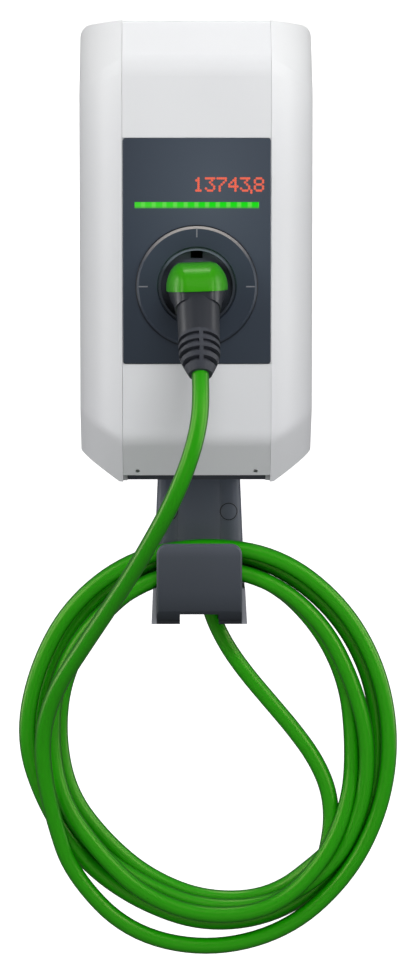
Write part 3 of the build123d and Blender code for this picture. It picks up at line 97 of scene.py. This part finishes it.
def number_step(material, operation, first, second=None):
    """The output of one calculation on a number, with a second number where it takes one."""
    nodes, links, _ = shader_of(material)
    step = nodes.new("ShaderNodeMath")
    step.operation = operation
    links.new(first, step.inputs[0])
    if isinstance(second, float):
        step.inputs[1].default_value = second
    elif second is not None:
        links.new(second, step.inputs[1])
    return step.outputs["Value"]


def share_between(material, value, low, high):
    """How far a value has gone from low to high, as a share from 0 to 1."""
    nodes, links, _ = shader_of(material)
    share = nodes.new("ShaderNodeMapRange")
    share.inputs["From Min"].default_value = low
    share.inputs["From Max"].default_value = high
    links.new(value, share.inputs["Value"])
    return share.outputs["Result"]


def blended(material, share, first, second):
    """A mix of two colours by a share. A colour is a linear one or the output of another node."""
    nodes, links, _ = shader_of(material)
    mix = nodes.new("ShaderNodeMix")
    mix.data_type = "RGBA"
    links.new(share, mix.inputs["Factor"])
    for name, color in (("A", first), ("B", second)):
        if isinstance(color, tuple):
            mix.inputs[name].default_value = color
        else:
            links.new(color, mix.inputs[name])
    return mix.outputs["Result"]


def paint_over(material, share, color):
    """Lays a colour over the material's own colour by a share."""
    _, links, shader = shader_of(material)
    plain = shader.inputs["Base Color"].links[0].from_socket
    links.new(blended(material, share, plain, color), shader.inputs["Base Color"])


def graded(material, place, steps):
    """The output of a ramp that runs through the colours from the lowest height to the highest, which paints light
    and shade that change with height.
    """
    nodes, links, _ = shader_of(material)
    low, high = steps[0][0], steps[-1][0]
    share = share_between(material, axes(material, place.outputs["Object"])["Z"], low * MM, high * MM)
    ramp = nodes.new("ShaderNodeValToRGB")
    bands = ramp.color_ramp.elements
    for _ in steps[2:]:
        bands.new(0.5)
    for band, (level, color) in zip(bands, steps):
        band.position = (level - low) / (high - low)
        band.color = color
    links.new(share, ramp.inputs["Fac"])
    return ramp.outputs["Color"]


def noise(material, place, scale, detail):
    """The output of an even noise over the surface."""
    nodes, links, _ = shader_of(material)
    grain = nodes.new("ShaderNodeTexNoise")
    grain.inputs["Scale"].default_value = scale
    grain.inputs["Detail"].default_value = detail
    links.new(place.outputs["Object"], grain.inputs["Vector"])
    return grain.outputs["Fac"]


# What the finishes share: the size of the broad patches, how far they change roughness and colour, the depth of
# the relief in millimetres, and how rough a clear coat is
BROAD_GRAIN = 9.0
ROUGHNESS_SPREAD = 0.04
RELIEF_HEIGHT = 0.6
DARKEST_PATCH = 0.93
COAT_ROUGHNESS = 0.12


def surface(name, color, roughness, grain=400.0, bump=0.05, metallic=0.0, coat=0.0, specular=0.5):
    """A material whose colour, roughness and relief vary a little, as moulded or drawn surfaces do.

    The colour is one linear colour, or a list of heights in millimetres with a colour for each, lowest first."""
    material = bpy.data.materials.new(name)
    material.use_nodes = True
    nodes, links, shader = shader_of(material)
    place = placed(material)
    fine = noise(material, place, grain, 3.0)
    broad = noise(material, place, BROAD_GRAIN, 2.0)
    rough = nodes.new("ShaderNodeMapRange")
    rough.inputs["To Min"].default_value = roughness - ROUGHNESS_SPREAD
    rough.inputs["To Max"].default_value = roughness + ROUGHNESS_SPREAD
    links.new(broad, rough.inputs["Value"])
    links.new(rough.outputs["Result"], shader.inputs["Roughness"])
    tint = nodes.new("ShaderNodeMix")
    tint.data_type = "RGBA"
    tint.blend_type = "MULTIPLY"
    tint.inputs["Factor"].default_value = 1.0
    patches = blended(material, broad, (1.0, 1.0, 1.0, 1.0), (*[DARKEST_PATCH] * 3, 1.0))
    links.new(patches, tint.inputs["B"])
    if isinstance(color, tuple):
        tint.inputs["A"].default_value = color
    else:
        links.new(graded(material, place, color), tint.inputs["A"])
    links.new(tint.outputs["Result"], shader.inputs["Base Color"])
    relief = nodes.new("ShaderNodeBump")
    relief.inputs["Strength"].default_value = bump
    relief.inputs["Distance"].default_value = RELIEF_HEIGHT * MM
    links.new(fine, relief.inputs["Height"])
    links.new(relief.outputs["Normal"], shader.inputs["Normal"])
    shader.inputs["Metallic"].default_value = metallic
    shader.inputs["Coat Weight"].default_value = coat
    shader.inputs["Coat Roughness"].default_value = COAT_ROUGHNESS
    shader.inputs["Specular IOR Level"].default_value = specular
    return material


def glowing(material, color, strength):
    """The same material, made to give off light of a colour."""
    set_input(material, "Emission Color", color)
    set_input(material, "Emission Strength", strength)
    return material


def set_input(material, name, value):
    """Sets one value of the material's main shader."""
    shader_of(material)[2].inputs[name].default_value = value


# Colours that change with height stand in for how the light falls in the photograph
WHITE_SHADES = [
    (-234, linear(228, 229, 232)),
    (-170, linear(228, 229, 232)),
    (-80, linear(235, 236, 238)),
    (40, linear(238, 239, 241)),
]
WHITE = surface("white moulding", WHITE_SHADES, 0.38, grain=900, bump=0.03)
# Painted light and shade on the housing's shell: darker towards the bottom and much lighter towards the top
SHELL_SHADES = [
    (-234, linear(225, 226, 229)),
    (-170, linear(225, 226, 229)),
    (-80, linear(228, 229, 231)),
    (40, linear(231, 232, 234)),
    (120, linear(238, 239, 241)),
    (200, linear(249, 250, 251)),
]
SHELL = surface("white shell moulding", SHELL_SHADES, 0.38, grain=900, bump=0.03)
BASE = surface("dark base moulding", linear(62, 65, 73), 0.55, grain=700, bump=0.12)
# Painted shade on the panel: darker towards the bottom, as colours graded with height
PANEL_SHADES = [(-112, linear(48, 56, 67)), (0, linear(60, 69, 82)), (115, linear(63, 71, 83))]
PANEL = surface("slate panel", PANEL_SHADES, 0.36, grain=1200, bump=0.05)
# Painted light in the socket's recess: much lighter near its top shelf, which lies in shade
SOCKET_SHADES = [(-95, linear(56, 62, 71)), (-18, linear(66, 72, 82)), (-4, linear(118, 126, 140))]
SOCKET = surface("black socket moulding", SOCKET_SHADES, 0.45, grain=800, bump=0.08)
NYLON = surface("black nylon", linear(43, 46, 53), 0.38, grain=700, bump=0.06, specular=0.75)
HOOD = surface("green hood", linear(48, 157, 0), 0.34, grain=600, bump=0.03, specular=0.5)
set_input(HOOD, "Specular Tint", (0.95, 1.0, 0.6, 1.0))
BOOT = surface("boot rubber", linear(60, 63, 71), 0.5, grain=900, bump=0.12)
# Painted light and shade on the holder: lighter up the stem, which lies in the housing's shadow, and darker
# towards the hook plate's lower edge
HOLDER_SHADES = [
    (-384, linear(30, 34, 40)),
    (-368, linear(54, 59, 67)),
    (-350, linear(66, 71, 80)),
    (-314, linear(74, 79, 88)),
    (-300, linear(92, 97, 108)),
    (-240, linear(92, 99, 114)),
]
HOLDER = surface("slate holder moulding", HOLDER_SHADES, 0.42, grain=900, bump=0.1)
CABLE = surface("cable sheath", linear(24, 164, 0), 0.34, grain=500, bump=0.04, specular=1.0)
set_input(CABLE, "Specular Tint", (0.95, 1.0, 0.4, 1.0))
RUBBER = surface("seal rubber", linear(30, 30, 31), 0.7, grain=500, bump=0.2)
STEEL = surface("zinc-plated steel", linear(196, 198, 200), 0.35, grain=300, bump=0.08, metallic=1.0)
SILVER = surface("silver-plated contact", linear(222, 218, 205), 0.25, grain=300, bump=0.04, metallic=1.0)
BOARD = surface("circuit board", linear(20, 84, 48), 0.4, grain=250, bump=0.12)
DEVICE = surface("light grey device", linear(206, 208, 210), 0.5, grain=800, bump=0.06)
RED = surface("red button", linear(190, 30, 24), 0.25, grain=500, bump=0.02, coat=0.3)
GLASS = surface("fuse glass", linear(225, 235, 235), 0.08, grain=200, bump=0.01)
set_input(GLASS, "Transmission Weight", 0.9)
DISPLAY = surface("display module", linear(18, 18, 20), 0.3, grain=500, bump=0.03)


# The middle and the reach of the soft pool of light painted on the panel, whose oval is taller than it is wide
GLOW_X, GLOW_Z = 14.0, 60.0
GLOW_REACH = 88.0
GLOW_SQUASH = 0.6
# Where the painted light starts to make the panel lighter towards its right side, where it is lightest, and by how
# much
RIGHT_SIDE = (0.0, 70.0)
RIGHT_SHARE = 0.15


def paint_panel_light(material):
    """Painted light on the panel: a soft lighter oval round the readout and a lighter band towards its right side.
    """
    place = placed(material).outputs["Object"]
    oval = vector_step(material, "MULTIPLY", place, (1, 0, GLOW_SQUASH))
    distance = vector_step(material, "DISTANCE", oval, (GLOW_X * MM, 0, GLOW_Z * GLOW_SQUASH * MM))
    paint_over(material, share_between(material, distance, GLOW_REACH * MM, 0.0), linear(79, 88, 100))
    right = share_between(material, axes(material, place)["X"], RIGHT_SIDE[0] * MM, RIGHT_SIDE[1] * MM)
    paint_over(material, number_step(material, "MULTIPLY", right, RIGHT_SHARE), linear(84, 92, 104))


# Painted light on the panel
paint_panel_light(PANEL)

# The spots of the light bar, from one near the middle
LAMP_PITCH = 10.7
LAMP_START = -0.4
LAMP_STRENGTH = 0.96
# The height of the wave along the bar at which a pale spot begins, and at which it is full
SPOT_EDGE = (0.0, 0.75)
# Where the bar's green turns purer from left to right, and where it darkens towards its lower edge
PURER = (-60.0, 10.0)
LOWER_EDGE = (46.6, 43.4)


def lamp_material():
    """The light bar: bright green, with paler spots along it."""
    material = surface("light bar", linear(14, 44, 14), 0.3, grain=400, bump=0.02)
    _, links, shader = shader_of(material)
    place = placed(material).outputs["Object"]
    parts = axes(material, place)
    across, height = parts["X"], parts["Z"]
    from_spot = number_step(material, "SUBTRACT", across, LAMP_START * MM)
    turn = number_step(material, "MULTIPLY", from_spot, 2 * math.pi / (LAMP_PITCH * MM))
    wave = number_step(material, "COSINE", turn)
    pure = share_between(material, across, PURER[0] * MM, PURER[1] * MM)
    green = blended(material, pure, linear(66, 212, 44), linear(16, 216, 8))
    spotted = blended(material, share_between(material, wave, *SPOT_EDGE), green, linear(98, 220, 76))
    low = share_between(material, height, LOWER_EDGE[0] * MM, LOWER_EDGE[1] * MM)
    links.new(blended(material, low, spotted, linear(84, 116, 78)), shader.inputs["Emission Color"])
    set_input(material, "Emission Strength", LAMP_STRENGTH)
    return material


LAMP = lamp_material()


def paint_rim_shade(material, color, start, end):
    """Painted shade: a deeper colour where the surface turns away from the view, darkening the sides of the round
    cable.
    """
    weight = material.node_tree.nodes.new("ShaderNodeLayerWeight")
    paint_over(material, share_between(material, weight.outputs["Facing"], start, end), color)


# Painted shade on the cable's sides
paint_rim_shade(CABLE, linear(0, 98, 0), 0.22, 0.8)

# Where the ring's painted bevel highlight and painted shadow line lie, as distances from the ring's middle and
# heights above it
BEVEL_START = 57.8
BEVEL_OUTLINE = 60.4
BEVEL_BLUR = 0.2
SHINE_LOW, SHINE_HIGH = 24.0, 60.0


def ring_material():
    """The ring: the panel's slate, with a painted highlight on its bevel, lighter towards the top, inside a
    painted shadow line.
    """
    material = surface("slate ring", PANEL_SHADES, 0.36, grain=1200, bump=0.05)
    place = placed(material).outputs["Object"]
    upright = vector_step(material, "MULTIPLY", place, (1, 0, 1))
    radius = vector_step(material, "DISTANCE", upright, (0, 0, SOCKET_Z * MM))
    height = axes(material, place)["Z"]
    upper = share_between(material, height, (SOCKET_Z + SHINE_LOW) * MM, (SOCKET_Z + SHINE_HIGH) * MM)
    # The bevel's painted highlight, lighter towards the top, and then the painted shadow line round the ring's
    # outer edge
    bevel = blended(material, upper, linear(58, 66, 78), linear(184, 178, 176))
    for edge, color in ((BEVEL_START, bevel), (BEVEL_OUTLINE, linear(28, 31, 37))):
        share = share_between(material, radius, (edge - BEVEL_BLUR) * MM, (edge + BEVEL_BLUR) * MM)
        paint_over(material, share, color)
    return material


RING = ring_material()

# The holder's flared corners: where the light painted on them starts and is full, out from the middle, in height,
# in facing
WING_OUT = (43.6, 44.6)
WING_DOWN = (-335.0, -350.0)
WING_FACING = (-0.3, -0.7)


def paint_wing_light(material):
    """Painted light on the holder's flared lower corners, so that they show as paler slivers beside its hook
    plate.
    """
    place = placed(material)
    from_middle = vector_step(material, "SUBTRACT", place.outputs["Object"], (HOLDER_X * MM, 0, 0))
    aside = axes(material, vector_step(material, "ABSOLUTE", from_middle))["X"]
    height = axes(material, place.outputs["Object"])["Z"]
    outside = share_between(material, aside, WING_OUT[0] * MM, WING_OUT[1] * MM)
    low = share_between(material, height, WING_DOWN[0] * MM, WING_DOWN[1] * MM)
    front = share_between(material, axes(material, place.outputs["Normal"])["Y"], *WING_FACING)
    share = number_step(material, "MULTIPLY", outside, low)
    paint_over(material, number_step(material, "MULTIPLY", share, front), linear(140, 142, 149))


# Painted light on the holder's lower corners
paint_wing_light(HOLDER)

# The caps: their places out from the holder's middle, their height, and the dark line inside their edge
CAP_X = 31.0
CAP_Z = -271.5
CAP_LINE_START, CAP_LINE_FULL = 8.0, 8.4


def cap_material():
    """The caps over the holder's screws: the holder's slate, with the shadow line round each cap's edge."""
    material = surface("slate cap", HOLDER_SHADES, 0.42, grain=900, bump=0.1)
    place = placed(material).outputs["Object"]
    from_middle = vector_step(material, "SUBTRACT", place, (HOLDER_X * MM, 0, CAP_Z * MM))
    mirrored = vector_step(material, "ABSOLUTE", from_middle)
    upright = vector_step(material, "MULTIPLY", mirrored, (1, 0, 1))
    radius = vector_step(material, "DISTANCE", upright, (CAP_X * MM, 0, 0))
    line = share_between(material, radius, CAP_LINE_START * MM, CAP_LINE_FULL * MM)
    paint_over(material, line, linear(34, 37, 43))
    return material


CAP = cap_material()

FINISHES = {
    "white_plastic": WHITE,
    "dark_plastic": BASE,
    "panel_plastic": PANEL,
    "lamp_green": LAMP,
    "board_green": BOARD,
    "display_black": DISPLAY,
    "socket_black": SOCKET,
    "connector_black": NYLON,
    "hood_green": HOOD,
    "boot_rubber": BOOT,
    "contact_metal": SILVER,
    "holder_plastic": HOLDER,
    "gland_nylon": NYLON,
    "cable_green": CABLE,
    "seal_rubber": RUBBER,
    "rail_steel": STEEL,
    "screw_steel": STEEL,
    "device_grey": DEVICE,
    "fuse_glass": GLASS,
    "button_red": RED,
}
OWN_FINISHES = {"housing_shell": SHELL, "holster_ring": RING, "holder_caps": CAP}
for part in frame["record"]["subparts"]:
    node = frame["nodes"][part["node"]]
    for slot in node.material_slots:
        slot.material = OWN_FINISHES.get(part["node"], FINISHES[part["material_slot"]])


def added(name, data):
    """A new object in the scene."""
    item = bpy.data.objects.new(name, data)
    bpy.context.scene.collection.objects.link(item)
    return item


def flat_piece(name, points, faces, material):
    """A new object of flat faces in one material."""
    mesh = bpy.data.meshes.new(name)
    mesh.from_pydata(points, [], faces)
    mesh.materials.append(material)
    return added(name, mesh)


# The number that shows through the panel, as rows of lit dots

DIGITS = {
    "1": "00100 01100 00100 00100 00100 00100 01110",
    "3": "11111 00010 00100 00010 00001 10001 01110",
    "4": "00010 00110 01010 10010 11111 00010 00010",
    "7": "11111 00001 00010 00100 01000 01000 01000",
    "8": "01110 10001 10001 01110 10001 10001 01110",
    ",": "00000 00000 00000 00000 00000 00000 10000 10000",
}
DOT_PITCH = 2.03
DOT_RADIUS = 1.28
DOT_SIDES = 10
READOUT_TOP = 75.2
READOUT_FRONT = 161.45
READOUT = [("1", -3.4), ("3", 8.2), ("7", 19.9), ("4", 31.6), ("3", 43.3), (",", 53.6), ("8", 57.2)]


DIGIT = glowing(surface("lit dots", linear(60, 28, 24), 0.5, bump=0.0), linear(238, 104, 80), 0.93)


def readout():
    points, faces = [], []
    for sign, left in READOUT:
        for row, cells in enumerate(DIGITS[sign].split()):
            for column, cell in enumerate(cells):
                if cell == "0":
                    continue
                faces.append(tuple(range(len(points), len(points) + DOT_SIDES)))
                for side in range(DOT_SIDES):
                    angle = 2 * math.pi * side / DOT_SIDES
                    x = left + (column + 0.5) * DOT_PITCH + DOT_RADIUS * math.cos(angle)
                    z = READOUT_TOP - (row + 0.5) * DOT_PITCH + DOT_RADIUS * math.sin(angle)
                    points.append(spot(x, READOUT_FRONT, z))
    item = flat_piece("readout", points, faces, DIGIT)
    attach(item, BODY)


readout()


# The ring's tick marks, as pale flat marks at the bottom of their grooves

TICK_FRONT = 165.45
# Each tick's left, right, low and high side, from the middle of the ring
TICK_SPANS = [(-0.65, 0.65, 49.3, 58.3), (-58.3, -49.3, -0.65, 0.65), (49.3, 58.3, -0.65, 0.65)]
TICK = surface("pale tick mark", linear(150, 152, 160), 0.5, grain=900, bump=0.02)


def ticks():
    points, faces = [], []
    for left, right, low, high in TICK_SPANS:
        faces.append(tuple(range(len(points), len(points) + 4)))
        for x, z in ((left, low), (right, low), (right, high), (left, high)):
            points.append(spot(x, TICK_FRONT, SOCKET_Z + z))
    item = flat_piece("ring_ticks", points, faces, TICK)
    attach(item, BODY)


ticks()


# The cable: from the connector down to the coil, round it and back up into the stem

# Each point is x, depth in front of the wall, z, in millimetres
LEAD = [
    (2.6, 270.2, -116.9),
    (3.3, 286.5, -139.7),
    (0.5, 298.5, -167.5),
    (-8.5, 302.5, -200),
    (-23, 293.5, -236),
    (-43, 267, -276),
    (-66, 234, -318),
    (-92, 200, -360),
    (-118, 168, -402),
    (-143, 140, -443),
    (-158, 119, -487),
    (-159, 106, -532),
    (-148, 92, -590),
    (-130, 80, -648),
]
TAIL = [
    (137, 67, -626),
    (142, 67, -594),
    (138.5, 65, -561),
    (124, 63, -529),
    (102, 60, -499),
    (77, 55, -470),
    (52, 49, -441),
    (31, 41, -412),
    (15.5, 33.5, -380),
    (8, 34.5, -344),
    (4.5, 31.5, -306),
    (3, 29, -276.4),
    (3, 29, -246.4),
]
# The coil's outermost and innermost centre line as x and z, from the left side down and round
OUTSIDE = [
    (-177, -509), (-155, -578), (-129, -650), (-71, -708), (11, -728), (93, -708), (154, -653), (189, -584),
    (200, -509), (187, -435), (150, -369), (87.5, -319), (11, -306), (-65.5, -320), (-128, -368),
    (-164, -436),
]
INSIDE = [
    (-142, -509), (-130, -567), (-95, -615), (-49, -655), (11, -679), (79, -675), (132, -631), (158, -571),
    (161, -509), (154, -449), (126, -392), (78, -345), (11, -328), (-56, -345), (-106, -390), (-136, -447),
]
# For each turn: how far out the cable lies between those lines, and its depth
TURNS = [
    [None, None, None, (1, 72), (1, 70), (1, 70), (1, 72), (1, 75),
     (1, 79), (1, 79), (1, 79), (1, 79), (1, 79), (1, 79), (1, 78), (1, 76)],
    [(1, 72), (1, 64), (0.62, 64), (0.46, 60), (0.52, 58), (0.56, 56), (0.68, 57), (0.76, 58),
     (0.72, 61), (0.73, 61), (0.68, 61), (0.6, 61), (0.78, 61), (0.58, 61), (0.55, 61), (0.52, 60)],
    [(0.62, 56), (0.52, 58), (0.3, 60), (0.12, 66), (0.12, 68), (0.15, 70), (0.45, 71), (0.45, 76),
     (0.4, 79), (0.17, 79), (0.16, 79), (0.05, 79), (0, 79), (0, 79), (0.15, 77), (0.25, 73)],
    [(0.2, 72), (0.3, 76), (0.2, 78), (0.25, 82), (0.25, 84), (0.2, 85), (0, 82), (0, 73),
     (0, 64), (0, 61), (0, 61), (0, 61), (0, 61), (0, 61), (0, 60), (0, 56)],
    [(0, 54), (0, 55), (0, 52), (0, 51), (0, 52), (0, 54), (0, 63), None,
     None, None, None, None, None, None, None, None],
]
# The curve runs a little inside its control points, so the coil's points stand that much further out
COIL_MIDDLE = (11, -520)
COIL_SPREAD = 1.019
CABLE_DIAMETER = 17.0
LENGTH_STEPS = 8


def coil_points():
    points = []
    for turn in TURNS:
        for station, place in enumerate(turn):
            if place is None:
                continue
            share, depth = place
            flat = []
            for outer, inner, middle in zip(OUTSIDE[station], INSIDE[station], COIL_MIDDLE):
                flat.append(middle + COIL_SPREAD * (inner + share * (outer - inner) - middle))
            points.append((flat[0], depth, flat[1]))
    return points


def drawn_length(route):
    """The length of the curve, which bends from each middle between two points to the next."""
    middles = [(a + b) / 2 for a, b in zip(route, route[1:])] + [route[-1]]
    length = (middles[0] - route[0]).length
    for start, corner, end in zip(middles, route[1:], middles[1:]):
        last = start
        for step in range(1, LENGTH_STEPS + 1):
            t = step / LENGTH_STEPS
            here = (1 - t) ** 2 * start + 2 * t * (1 - t) * corner + t * t * end
            length += (here - last).length
            last = here
    return length


def cable(route):
    data = bpy.data.curves.new("cable", "CURVE")
    data.dimensions = "3D"
    line = data.splines.new("NURBS")
    line.points.add(len(route) - 1)
    for point, place in zip(line.points, route):
        point.co = (*place, 1.0)
    line.order_u = 3
    line.use_endpoint_u = True
    line.resolution_u = 8
    data.bevel_depth = CABLE_DIAMETER / 2 * MM
    data.bevel_resolution = 8
    data.use_fill_caps = True
    data.materials.append(CABLE)
    return added("cable", data)


cord_route = [spot(*point) for point in LEAD + coil_points() + TAIL]
cord = cable(cord_route)
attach(cord, BODY)
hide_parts("cable_tail", "cable_coil", "cable_lead")
round(drawn_length(cord_route), 2)


# Camera at the photograph's angle

camera_data = bpy.data.cameras.new("camera")
camera = added("camera", camera_data)
camera.location = spot(-25, 3500, 50)
aim = spot(12.3, 62, -245)
camera.rotation_euler = (aim - camera.location).to_track_quat("-Z", "Y").to_euler()
camera_data.sensor_fit = "VERTICAL"
camera_data.sensor_height = 36.0
camera_data.lens = 122.6
camera_data.clip_end = 50.0
bpy.context.scene.camera = camera


# Backdrop and lights


def sheet(name, width, height, place, turn, material):
    x, y = width / 2, height / 2
    item = flat_piece(name, [(-x, -y, 0), (x, -y, 0), (x, y, 0), (-x, y, 0)], [(0, 1, 2, 3)], material)
    item.location = place
    item.rotation_euler = turn
    return item


BACKDROP = surface("backdrop", linear(250, 250, 250), 0.9, grain=60, bump=0.02)
glowing(BACKDROP, (1, 1, 1, 1), 0.9)


def front_only(material):
    """Clear when seen from behind, so that the sheet hides nothing from a camera behind it."""
    nodes, links, shader = shader_of(material)
    side = nodes.new("ShaderNodeNewGeometry")
    clear = nodes.new("ShaderNodeBsdfTransparent")
    mix = nodes.new("ShaderNodeMixShader")
    links.new(side.outputs["Backfacing"], mix.inputs["Fac"])
    links.new(shader.outputs["BSDF"], mix.inputs[1])
    links.new(clear.outputs["BSDF"], mix.inputs[2])
    links.new(mix.outputs["Shader"], nodes["Material Output"].inputs["Surface"])


front_only(BACKDROP)
for stage in (
    sheet("backdrop", 30, 24, (0, 5.0, 0), (math.pi / 2, 0, 0), BACKDROP),
    sheet("floor", 30, 30, (0, 0, -3.0), (0, 0, 0), BACKDROP),
):
    stage.visible_diffuse = False
    stage.visible_glossy = False


LAMP_AIM = Vector((0, -0.05, -0.15))


def lamp(name, place, size, power):
    data = bpy.data.lights.new(name, "AREA")
    data.shape = "RECTANGLE"
    data.size, data.size_y = size
    data.energy = power
    item = added(name, data)
    item.location = place
    item.rotation_euler = (LAMP_AIM - item.location).to_track_quat("-Z", "Y").to_euler()
    item.visible_camera = False
    return item


lamp("overhead", Vector((0, 0.48, 2.1)), (1.0, 0.7), 14)
lamp("key", Vector((0.35, -1.9, 1.3)), (1.0, 0.8), 18.5).visible_glossy = False
lamp("right", Vector((2.1, -1.5, 0.8)), (0.7, 2.2), 15.5)
lamp("left", Vector((-2.1, -1.5, 0.8)), (0.7, 2.2), 15.5)
lamp("right rim", Vector((1.9, 0.2, 0.1)), (0.5, 1.8), 9)
lamp("left rim", Vector((-1.9, 0.2, 0.1)), (0.5, 1.8), 10)
lamp("front low", Vector((0.2, -3.0, -1.3)), (1.6, 0.8), 10).visible_glossy = False

# The world lights matt surfaces more than shiny ones, and is bright where the camera sees it
WORLD_DIFFUSE, WORLD_GLOSSY, WORLD_SEEN = 0.3, 0.1, 0.7

world = bpy.data.worlds.new("world")
bpy.context.scene.world = world
world.use_nodes = True
nodes, links = world.node_tree.nodes, world.node_tree.links
nodes["Background"].inputs["Color"].default_value = (1, 1, 1, 1)
rays = nodes.new("ShaderNodeLightPath")
dimmed = nodes.new("ShaderNodeMapRange")
dimmed.inputs["To Min"].default_value = WORLD_DIFFUSE
dimmed.inputs["To Max"].default_value = WORLD_GLOSSY
links.new(rays.outputs["Is Glossy Ray"], dimmed.inputs["Value"])
seen = nodes.new("ShaderNodeMath")
seen.operation = "MULTIPLY_ADD"
seen.inputs[1].default_value = WORLD_SEEN
links.new(rays.outputs["Is Camera Ray"], seen.inputs[0])
links.new(dimmed.outputs["Result"], seen.inputs[2])
links.new(seen.outputs["Value"], nodes["Background"].inputs["Strength"])
bpy.context.scene.view_settings.view_transform = "Standard"
